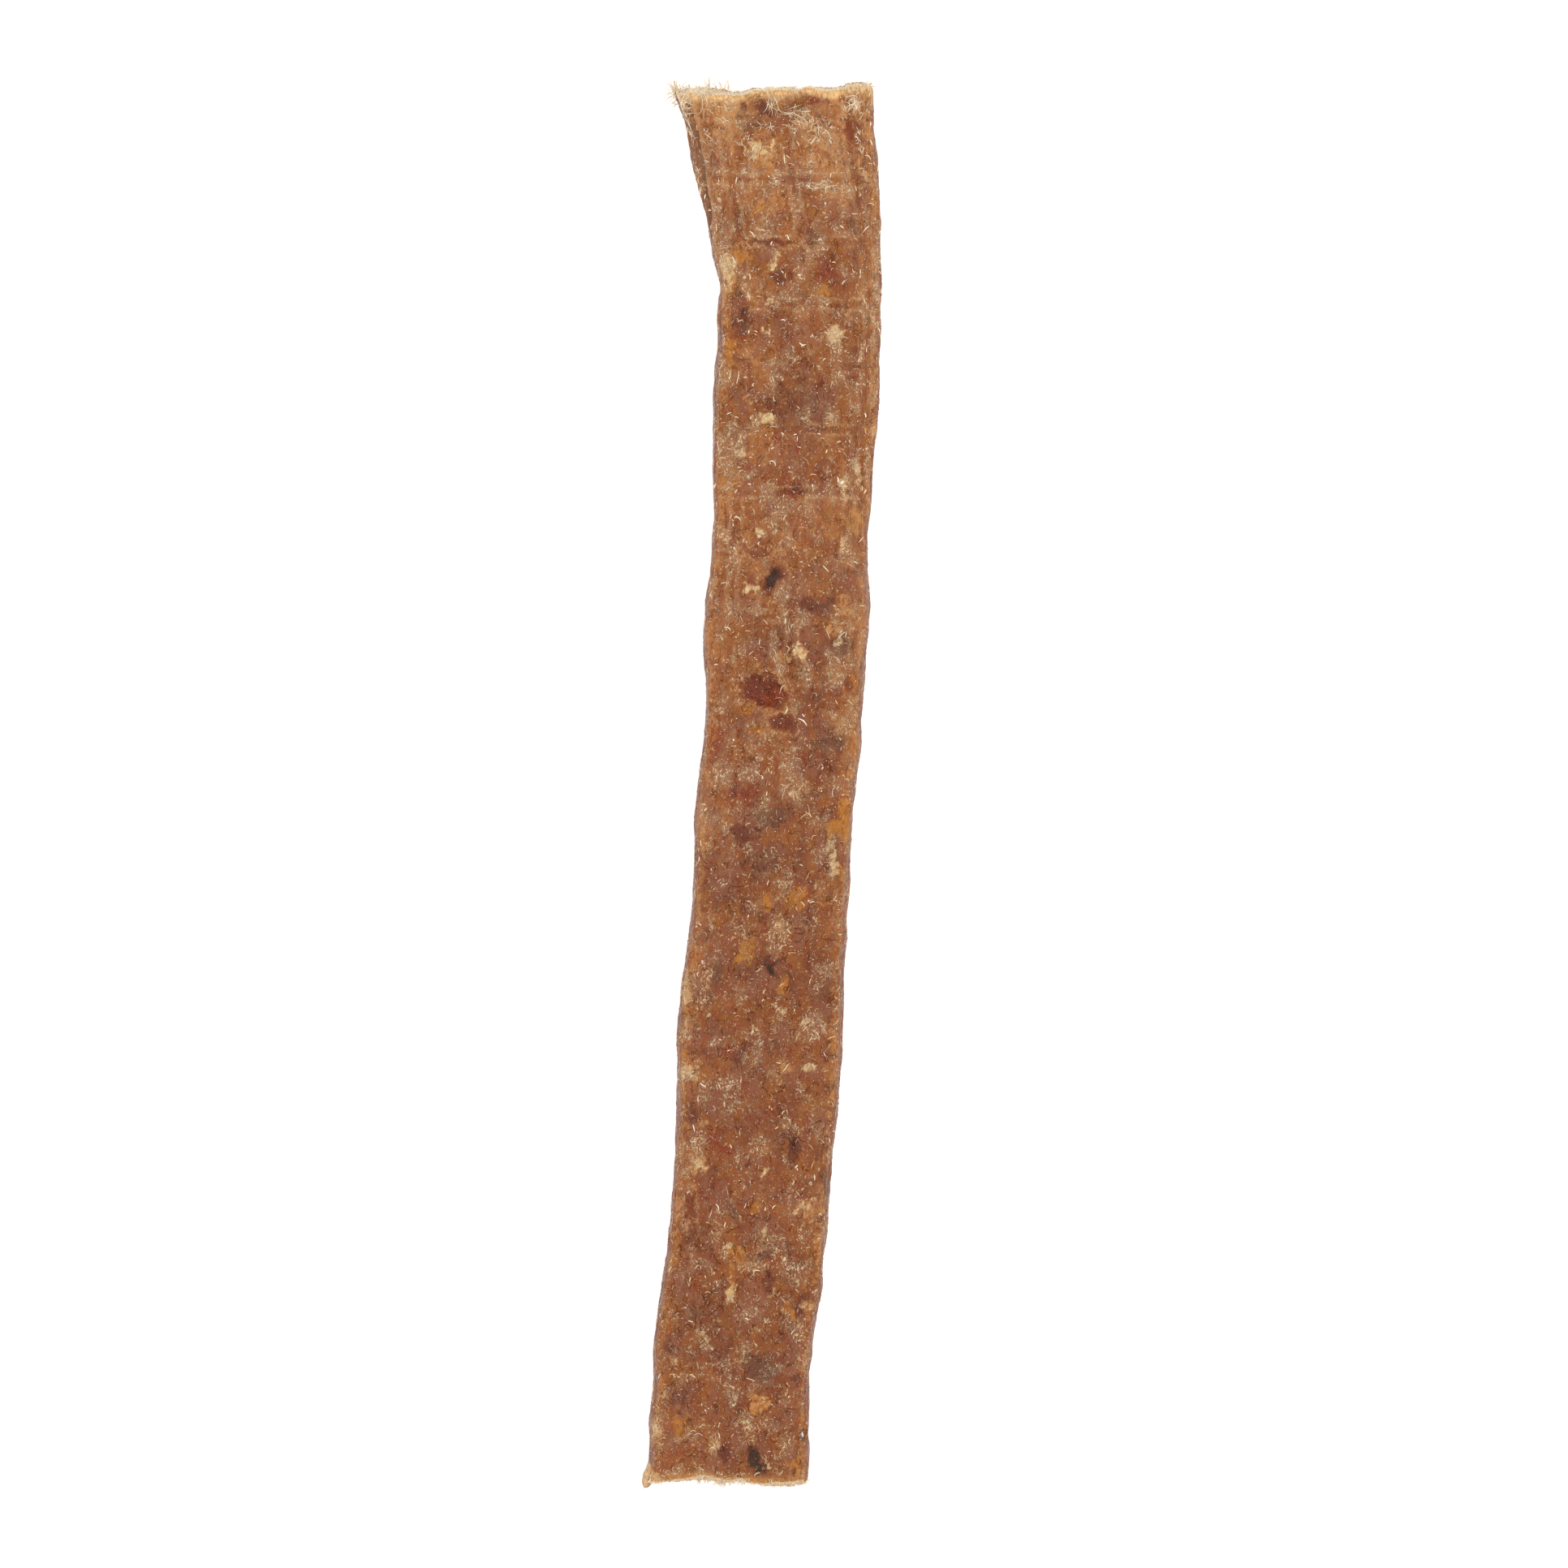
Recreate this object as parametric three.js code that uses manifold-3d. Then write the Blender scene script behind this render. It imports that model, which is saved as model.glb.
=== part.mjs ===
// A dog chew: one strip of minced chicken, pressed flat on a wire drying tray and dried hard.
// It lies on its underside with its upper face up. Millimetres, +Z up, +Y towards the flared end.
// The whole strip is one piece of meat, so it is one solid: a fine box whose grid is drawn out to
// the strip's outline, sloping flanks, lumpy faces and ragged cut ends.
import * as THREE from "three";
import { mergeVertices } from "three/addons/utils/BufferGeometryUtils.js";
import Module from "manifold-3d";

// Overall sizes.
const LENGTH = 200;
const THICKNESS = 5.3;
const HALF_LENGTH = LENGTH / 2;

// The grid: cells across, along and down the flanks.
const CELLS_ACROSS = 15;
const CELLS_ALONG = 134;
const CELLS_DOWN = 6;

// The outline seen from above, from the plain end to the flared end: how far along, then where
// the left and the right edge are. The strip leans to the right and flares out at the upper left.
const OUTLINE = [
  [-100, -16.9, 6.2],
  [-98, -16.3, 6.3],
  [-92, -16.1, 6.5],
  [-78, -15.4, 7.3],
  [-71, -14.4, 8.5],
  [-57, -12.8, 9.7],
  [-42, -12.5, 10.9],
  [-29, -11.8, 11.5],
  [-21, -10.6, 11.8],
  [-4, -9.5, 13.0],
  [8, -8.5, 14.0],
  [23, -8.5, 15.1],
  [33, -7.4, 15.0],
  [54, -7.0, 16.4],
  [66, -6.6, 16.8],
  [72, -6.5, 16.8],
  [83, -8.9, 16.6],
  [94, -11.4, 16.0],
  [100, -13.0, 15.7],
];
const EDGE_WAVE = 0.28;
const EDGE_WAVE_LENGTH = 4.5;

// Flanks: how far the upper edge stands inside the outline, and how much of the height slopes.
const LEAN = 0.9;
const SLOPING_SHARE = 0.55;
const UNDERCUT = 0.35;
const UNDERCUT_FROM = 0.78;
// The flared left flank is wide, and has a crease where two layers of meat were pressed together.
const FLARE = { middle: 86, reach: 13, lean: 2.3, creaseAt: 0.36, creaseWidth: 0.12, creaseDepth: 0.6 };
// The right flank is a broad bevel towards the flared end.
const BEVEL = { from: 27, to: 35, lean: 2.9 };

// The flared end's left corner has curled up a little in drying.
const CURL = { rise: 1.3, from: 58, acrossFrom: 2, acrossTo: -14 };

// The two cut lines seen from above: a place across, from -1 at the left edge to 1 at the right,
// and how far the end stands past half the length there.
const FLARED_CUT = [
  [-1, -0.3],
  [-0.6, -0.2],
  [-0.25, -1.0],
  [0.1, -0.6],
  [0.5, -0.2],
  [1, 0.5],
];
const PLAIN_CUT = [
  [-1, -0.5],
  [-0.8, -0.1],
  [-0.45, -0.4],
  [-0.25, -0.9],
  [0.15, -0.9],
  [0.4, -0.5],
  [1, 0.2],
];
// The cut face leans out towards the tray, and its line is ragged.
const CUT_REACH = 8;
const CUT_LEAN = 1.1;
const CUT_RAGGED = 0.42;
const CUT_RAGGED_LENGTH = 1.9;

// Wire marks of the drying tray: deep on the underside, faint on the upper face.
const WIRE_PITCH = (6 * LENGTH) / CELLS_ALONG;
const WIRE_PHASE = (5 * LENGTH) / CELLS_ALONG - HALF_LENGTH;
const WIRE_ACROSS_PHASE = 0.9;
const WIRE_HALF_WIDTH = 0.75;
const TOP_MARK_DEPTH = 0.26;
const TOP_MARK_FROM = 12;
const TOP_MARK_FULL = 30;
const TOP_MARK_ELSEWHERE = 0.35;
const UNDER_MARK_DEPTH = 0.45;

// Lumps of the mince on the upper face and on the flanks: size across and height, coarse first.
const LUMPS = [
  { size: 7.5, height: 0.3 },
  { size: 3.1, height: 0.26 },
  { size: 1.6, height: 0.16 },
];
const FLANK_LUMP = 0.22;
const FLANK_LUMP_SIZE = 2.4;

// Bits that stand out of the upper face (rise above 0) and hollows in it (rise below 0):
// where they are, half their width and length, and how high or deep they are.
const BITS = [
  { x: 0.4, y: 90.6, halfWidth: 2.5, halfLength: 2.4, rise: 0.55 },
  { x: 9.8, y: 64.4, halfWidth: 1.3, halfLength: 1.0, rise: 0.35 },
  { x: -5.7, y: 73.6, halfWidth: 1.1, halfLength: 2.4, rise: 0.4 },
  { x: 12.4, y: 15.6, halfWidth: 1.5, halfLength: 2.0, rise: 0.4 },
  { x: 0.3, y: 12.9, halfWidth: 3.1, halfLength: 2.1, rise: -0.6 },
  { x: 2.9, y: 8.8, halfWidth: 1.8, halfLength: 1.3, rise: -0.4 },
  { x: 1.7, y: 28.9, halfWidth: 1.5, halfLength: 2.2, rise: -0.35 },
  { x: -3.4, y: 66.4, halfWidth: 1.4, halfLength: 2.6, rise: -0.35 },
  { x: -1.4, y: -97.2, halfWidth: 1.6, halfLength: 2.6, rise: -0.45 },
  { x: 0.8, y: -25.9, halfWidth: 0.9, halfLength: 2.0, rise: -0.35 },
];

// A slit torn through the right edge near the plain end, with a thin strand of meat outside it.
const SLIT = { y: -93, halfLength: 0.8, halfWidth: 0.3, strand: 0.3 };
const SLIT_STEPS = 12;

const COLOUR = "#9f6e4f";
const ROUGHNESS = 0.62;

const { lerp, smoothstep, clamp } = THREE.MathUtils;

// A repeatable random value from 0 to 1 for a whole-number place.
function scatter(i, j, seed) {
  const v = Math.sin(i * 127.1 + j * 311.7 + seed * 74.7) * 43758.5453;
  return v - Math.floor(v);
}

// Smooth random hills from -1 to 1, one hill or hollow per unit.
function hills(x, y, seed) {
  const i = Math.floor(x);
  const j = Math.floor(y);
  const fx = smoothstep(x - i, 0, 1);
  const fy = smoothstep(y - j, 0, 1);
  const low = lerp(scatter(i, j, seed), scatter(i + 1, j, seed), fx);
  const high = lerp(scatter(i, j + 1, seed), scatter(i + 1, j + 1, seed), fx);
  return 2 * lerp(low, high, fy) - 1;
}

// A curve through one column of some points, with slopes taken from the neighbouring points.
function curveThrough(points, place, column) {
  const last = points.length - 1;
  const at = clamp(place, points[0][0], points[last][0]);
  let i = 0;
  while (i < last - 1 && at > points[i + 1][0]) i++;
  const slope = (n) => {
    const a = points[Math.max(n - 1, 0)];
    const b = points[Math.min(n + 1, last)];
    return (b[column] - a[column]) / (b[0] - a[0]);
  };
  const span = points[i + 1][0] - points[i][0];
  const t = (at - points[i][0]) / span;
  const t2 = t * t;
  const t3 = t2 * t;
  return (
    (2 * t3 - 3 * t2 + 1) * points[i][column] +
    (t3 - 2 * t2 + t) * span * slope(i) +
    (3 * t2 - 2 * t3) * points[i + 1][column] +
    (t3 - t2) * span * slope(i + 1)
  );
}

const edgeWave = (y, seed) => EDGE_WAVE * hills(0.5, y / EDGE_WAVE_LENGTH, seed);
const leftEdge = (y) => curveThrough(OUTLINE, y, 1) + edgeWave(y, 1);
const rightEdge = (y) => curveThrough(OUTLINE, y, 2) + edgeWave(y, 2);
const middleOf = (y) => (curveThrough(OUTLINE, y, 1) + curveThrough(OUTLINE, y, 2)) / 2;

// 1 in the middle of the flare, 0 past its reach.
function flareAt(y) {
  const t = clamp((y - FLARE.middle) / FLARE.reach, -1, 1);
  return (1 + Math.cos(Math.PI * t)) / 2;
}

const bevelAt = (y) => smoothstep(y, BEVEL.from, BEVEL.to);

// How far a flank is inside the outline at a depth of 0 at the upper face and 1 at the underside.
function inset(lean, depth) {
  const slope = clamp(1 - depth / SLOPING_SHARE, 0, 1);
  const sharpness = lerp(2.2, 1.25, smoothstep(lean, LEAN, LEAN + FLARE.lean));
  const under = Math.max(0, depth - UNDERCUT_FROM) / (1 - UNDERCUT_FROM);
  return lean * slope ** sharpness + UNDERCUT * under * under;
}

function leftAt(y, depth) {
  const flare = flareAt(y);
  const crease = Math.exp(-(((depth - FLARE.creaseAt) / FLARE.creaseWidth) ** 2));
  const lump = FLANK_LUMP * hills(depth * 2, y / FLANK_LUMP_SIZE, 3);
  return (
    leftEdge(y) + inset(LEAN + FLARE.lean * flare, depth) + FLARE.creaseDepth * flare * crease + lump
  );
}

function rightAt(y, depth) {
  const lump = FLANK_LUMP * hills(depth * 2, y / FLANK_LUMP_SIZE, 4);
  return rightEdge(y) - inset(LEAN + BEVEL.lean * bevelAt(y), depth) - lump;
}

// 1 on a wire's line, 0 between wires.
function wireMark(x, y) {
  const fromLine = (v, phase) => Math.abs(v - phase - WIRE_PITCH * Math.round((v - phase) / WIRE_PITCH));
  const nearest = Math.min(
    fromLine(x - middleOf(y), WIRE_ACROSS_PHASE),
    fromLine(y, WIRE_PHASE),
  );
  return 1 - smoothstep(nearest, 0, WIRE_HALF_WIDTH * 1.3);
}

function bitsAt(x, y) {
  let rise = 0;
  for (const bit of BITS) {
    const away = ((x - bit.x) / bit.halfWidth) ** 2 + ((y - bit.y) / bit.halfLength) ** 2;
    rise += bit.rise * Math.exp(-away * away);
  }
  return rise;
}

function upperFace(x, y) {
  const lumps = LUMPS.reduce((sum, l, n) => sum + l.height * hills(x / l.size, y / l.size, 10 + n), 0);
  const marked = lerp(TOP_MARK_ELSEWHERE, 1, smoothstep(y, TOP_MARK_FROM, TOP_MARK_FULL));
  return THICKNESS + lumps + bitsAt(x, y) - TOP_MARK_DEPTH * marked * wireMark(x, y);
}

const underside = (x, y) => UNDER_MARK_DEPTH * wireMark(x, y);

function curlAt(x, y) {
  const along = smoothstep(y, CURL.from, HALF_LENGTH);
  const across = smoothstep(CURL.acrossFrom - x, 0, CURL.acrossFrom - CURL.acrossTo);
  return CURL.rise * along * along * across;
}

// Where a point of the box goes: across from -1 to 1, along in millimetres, depth from 0 to 1.
function placed(across, along, depth) {
  const x = lerp(leftAt(along, depth), rightAt(along, depth), (across + 1) / 2);
  const nearEnd = clamp((Math.abs(along) - HALF_LENGTH + CUT_REACH) / CUT_REACH, 0, 1);
  const cutLine = curveThrough(along > 0 ? FLARED_CUT : PLAIN_CUT, across, 1);
  const ragged = CUT_RAGGED * hills(x / CUT_RAGGED_LENGTH, depth * 2.5, along > 0 ? 5 : 6);
  const past = cutLine - CUT_LEAN * (1 - depth) ** 1.5 - ragged;
  const y = along + Math.sign(along) * past * nearEnd ** 2;
  const z = lerp(upperFace(x, along), underside(x, along), depth) + curlAt(x, along);
  return [x, y, z];
}

// The box's grid, drawn out to the strip.
function stripGeometry() {
  const box = new THREE.BoxGeometry(2, LENGTH, 1, CELLS_ACROSS, CELLS_ALONG, CELLS_DOWN);
  box.deleteAttribute("normal");
  box.deleteAttribute("uv");
  const strip = mergeVertices(box, 1e-5);
  const place = strip.getAttribute("position");
  for (let i = 0; i < place.count; i++) {
    place.setXYZ(i, ...placed(place.getX(i), place.getY(i), 0.5 - place.getZ(i)));
  }
  return strip;
}

// A pointed slit, cut straight down through the strip.
function slitGeometry() {
  const outline = new THREE.Shape();
  for (let n = 0; n < 2 * SLIT_STEPS; n++) {
    const t = (n % SLIT_STEPS) / SLIT_STEPS;
    const side = n < SLIT_STEPS ? 1 : -1;
    const along = side * SLIT.halfLength * (2 * t - 1);
    const across = side * SLIT.halfWidth * Math.sin(Math.PI * t);
    if (n === 0) outline.moveTo(across, along);
    else outline.lineTo(across, along);
  }
  const deep = 4 * THICKNESS;
  const slit = new THREE.ExtrudeGeometry(outline, { depth: deep, bevelEnabled: false });
  const innermost = rightEdge(SLIT.y) - FLANK_LUMP - SLIT.strand - SLIT.halfWidth;
  slit.translate(innermost, SLIT.y, -deep / 2);
  slit.deleteAttribute("normal");
  slit.deleteAttribute("uv");
  return mergeVertices(slit, 1e-5);
}

const wasm = await Module();
wasm.setup();

function solidOf(geometry) {
  return new wasm.Manifold(
    new wasm.Mesh({
      numProp: 3,
      vertProperties: Float32Array.from(geometry.getAttribute("position").array),
      triVerts: Uint32Array.from(geometry.index.array),
    }),
  );
}

function geometryOf(solid) {
  const mesh = solid.getMesh();
  return new THREE.BufferGeometry()
    .setAttribute("position", new THREE.BufferAttribute(mesh.vertProperties, 3))
    .setIndex(new THREE.BufferAttribute(mesh.triVerts, 1));
}

// The strip with its slit, standing on its lowest point with the middle of its outline over the origin.
function chewMesh() {
  const geometry = geometryOf(solidOf(stripGeometry()).subtract(solidOf(slitGeometry())));
  geometry.computeBoundingBox();
  const box = geometry.boundingBox;
  geometry.translate(-(box.min.x + box.max.x) / 2, -(box.min.y + box.max.y) / 2, -box.min.z);
  const dried = new THREE.MeshStandardMaterial({ color: COLOUR, roughness: ROUGHNESS, metalness: 0 });
  const mesh = new THREE.Mesh(geometry, dried);
  mesh.name = "meat_strip";
  return mesh;
}

const chew = new THREE.Group();
chew.add(chewMesh());

export default chew;
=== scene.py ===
# A dog chew: one strip of minced chicken, pressed flat on a wire tray and dried hard, on a pale table.
# Every piece is in metres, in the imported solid's frame: +Y towards the flared end, +Z up.
import math
import random

import bpy
import numpy as np
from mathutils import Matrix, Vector, noise
from mathutils.bvhtree import BVHTree


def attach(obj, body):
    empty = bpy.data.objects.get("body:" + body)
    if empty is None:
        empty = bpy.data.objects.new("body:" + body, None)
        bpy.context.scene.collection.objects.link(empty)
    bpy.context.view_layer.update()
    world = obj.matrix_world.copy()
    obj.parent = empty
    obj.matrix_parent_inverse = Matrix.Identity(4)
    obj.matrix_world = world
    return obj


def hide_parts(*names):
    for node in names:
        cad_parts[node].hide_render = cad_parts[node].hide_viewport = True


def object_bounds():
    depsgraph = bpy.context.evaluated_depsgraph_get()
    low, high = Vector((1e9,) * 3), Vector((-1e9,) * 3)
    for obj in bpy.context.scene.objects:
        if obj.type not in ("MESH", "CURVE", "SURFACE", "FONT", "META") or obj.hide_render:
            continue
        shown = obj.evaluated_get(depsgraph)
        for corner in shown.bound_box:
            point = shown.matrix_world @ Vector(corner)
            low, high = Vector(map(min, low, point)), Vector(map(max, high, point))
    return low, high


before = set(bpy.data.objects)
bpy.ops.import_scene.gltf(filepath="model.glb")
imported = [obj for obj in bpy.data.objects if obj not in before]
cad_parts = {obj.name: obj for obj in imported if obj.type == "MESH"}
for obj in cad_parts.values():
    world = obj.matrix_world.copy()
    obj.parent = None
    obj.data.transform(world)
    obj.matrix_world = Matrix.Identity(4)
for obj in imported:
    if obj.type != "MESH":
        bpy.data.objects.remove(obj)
cad_low, cad_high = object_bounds()

# The strip
# Minced chicken with bits of fat, skin and dark meat in it, pressed between wire trays and dried until
# hard. It is one piece of meat, so one mesh stands for the solid, with the mince's fine relief on it.
# Its sizes and places are in millimetres, which MM turns into metres.
MM = 0.001
MERGE = 0.002 * MM
FLAT_ENOUGH = math.radians(70)
FINER_LEVELS = 2


def pick_only(piece):
    """Selects one piece alone, for the operators that follow."""
    bpy.ops.object.select_all(action="DESELECT")
    piece.select_set(True)
    bpy.context.view_layer.objects.active = piece


def add_object(name, data):
    made = bpy.data.objects.new(name, data)
    bpy.context.collection.objects.link(made)
    return made


strip = add_object("dried_strip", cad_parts["meat_strip"].data.copy())
pick_only(strip)
bpy.ops.object.mode_set(mode="EDIT")
bpy.ops.mesh.select_all(action="SELECT")
bpy.ops.mesh.remove_doubles(threshold=MERGE)
bpy.ops.mesh.tris_convert_to_quads(face_threshold=FLAT_ENOUGH, shape_threshold=FLAT_ENOUGH)
bpy.ops.object.mode_set(mode="OBJECT")
finer = strip.modifiers.new("finer", "SUBSURF")
finer.levels = finer.render_levels = FINER_LEVELS
bpy.ops.object.modifier_apply(modifier=finer.name)


def vertex_values(mesh, name):
    """One property of all of a mesh's vertices, a row for each."""
    values = np.zeros(len(mesh.vertices) * 3, np.float32)
    mesh.vertices.foreach_get(name, values)
    return values.reshape(-1, 3).astype(float)


def move_vertices(mesh, places):
    """Puts a mesh's vertices at places given in millimetres."""
    mesh.vertices.foreach_set("co", (places * MM).astype(np.float32).ravel())
    mesh.update()


def ease(value, low, high):
    """0 at low and below, 1 at high and above, with a smooth turn between them."""
    t = np.clip((value - low) / (high - low), 0, 1)
    return t * t * (3 - 2 * t)


def bump(value, middle, width):
    """1 at the middle, and smoothly down to nothing within about two widths on both sides."""
    return np.exp(-(((value - middle) / width) ** 2))


def hills(places, size, seed, octaves=2):
    """Smooth random heights from about -1 to 1, with bumps that are size millimetres long each way."""
    shift = Vector((17.3, 5.9, 11.1)) * seed
    scaled = places / np.array(size, float)
    return np.array([noise.fractal(Vector(p) + shift, 1.0, 2.0, octaves) for p in scaled])


place = vertex_values(strip.data, "co") / MM
facing = vertex_values(strip.data, "normal")
along = place[:, 1]

# Where the strip's sides are, read from the mesh row by row, and its ends, column by column.
ROW = 1.0
COLUMN = 0.8
rows = np.arange(cad_low.y / MM, cad_high.y / MM, ROW)
row_of = np.clip(np.searchsorted(rows, along) - 1, 0, len(rows) - 1)
left_edge, right_edge = (
    np.interp(along, rows + ROW / 2, [furthest(place[row_of == r, 0]) for r in range(len(rows))])
    for furthest in (np.min, np.max)
)
from_middle = place[:, 0] - (left_edge + right_edge) / 2

columns = np.arange(cad_low.x / MM, cad_high.x / MM, COLUMN)
column_of = np.clip(np.searchsorted(columns, place[:, 0]) - 1, 0, len(columns) - 1)


def end_line(furthest, chosen=True, **when_empty):
    """Where the strip, or what is chosen of it, ends on one side, in each vertex's column."""
    ends = [furthest(along[chosen & (column_of == c)], **when_empty) for c in range(len(columns))]
    return np.interp(place[:, 0], columns + COLUMN / 2, ends)


# The cut ends swell out at places, and lean out at the top. For each swelling: its middle across, its half
# width and how far it goes.
FAR_SWELLS = [(-1.2, 2.3, 1.05), (2.6, 1.6, 0.45), (6.4, 1.5, 0.6), (12.8, 2.0, 0.25)]
NEAR_SWELLS = [
    (-5.6, 3.2, 1.1), (-1.4, 1.6, 0.55), (1.0, 1.6, 0.5),
    (3.6, 1.4, 0.5), (6.6, 1.0, 0.35), (-16.4, 1.0, 0.35),
]
FAR_LEAN, NEAR_LEAN = 0.15, 0.45
SWELL_DEPTH = 4.5
for swells, lean, away, from_this_end in (
    (FAR_SWELLS, FAR_LEAN, 1, end_line(np.max) - along),
    (NEAR_SWELLS, NEAR_LEAN, -1, along - end_line(np.min)),
):
    pushed = sum(by * bump(place[:, 0], x, width) for x, width, by in swells)
    pushed = pushed + lean * ease(place[:, 2], 1.5, 4.0)
    place[:, 1] += away * pushed * (1 - ease(from_this_end, 0.8, SWELL_DEPTH))

# The strand outside the slit is thin, so light comes in under it.
SLIT_MIDDLE = (5.75, -93.2)
STRAND_LOW, STRAND_THICK, STRAND_BULGE = 3.6, 0.6, -0.2
SOLID_STRAND_THICK = 5.0
of_strand = (place[:, 0] > SLIT_MIDDLE[0]) * (1 - ease(np.abs(along - SLIT_MIDDLE[1]), 0.55, 1.0))
lifted = STRAND_LOW + STRAND_THICK * place[:, 2] / SOLID_STRAND_THICK
place[:, 2] += (lifted - place[:, 2]) * of_strand
place[:, 0] += STRAND_BULGE * of_strand

# How much each vertex belongs to the upper face, the underside, the cut ends and the flanks.
LEVEL_FACE = (0.35, 0.8)
END_FACE = (0.45, 0.75)
upper = ease(facing[:, 2], *LEVEL_FACE)
under = ease(-facing[:, 2], *LEVEL_FACE)
cut = ease(np.abs(facing[:, 1]), *END_FACE) * (1 - upper) * (1 - under)
flank = np.clip(1 - upper - under - cut, 0, 1)

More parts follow.
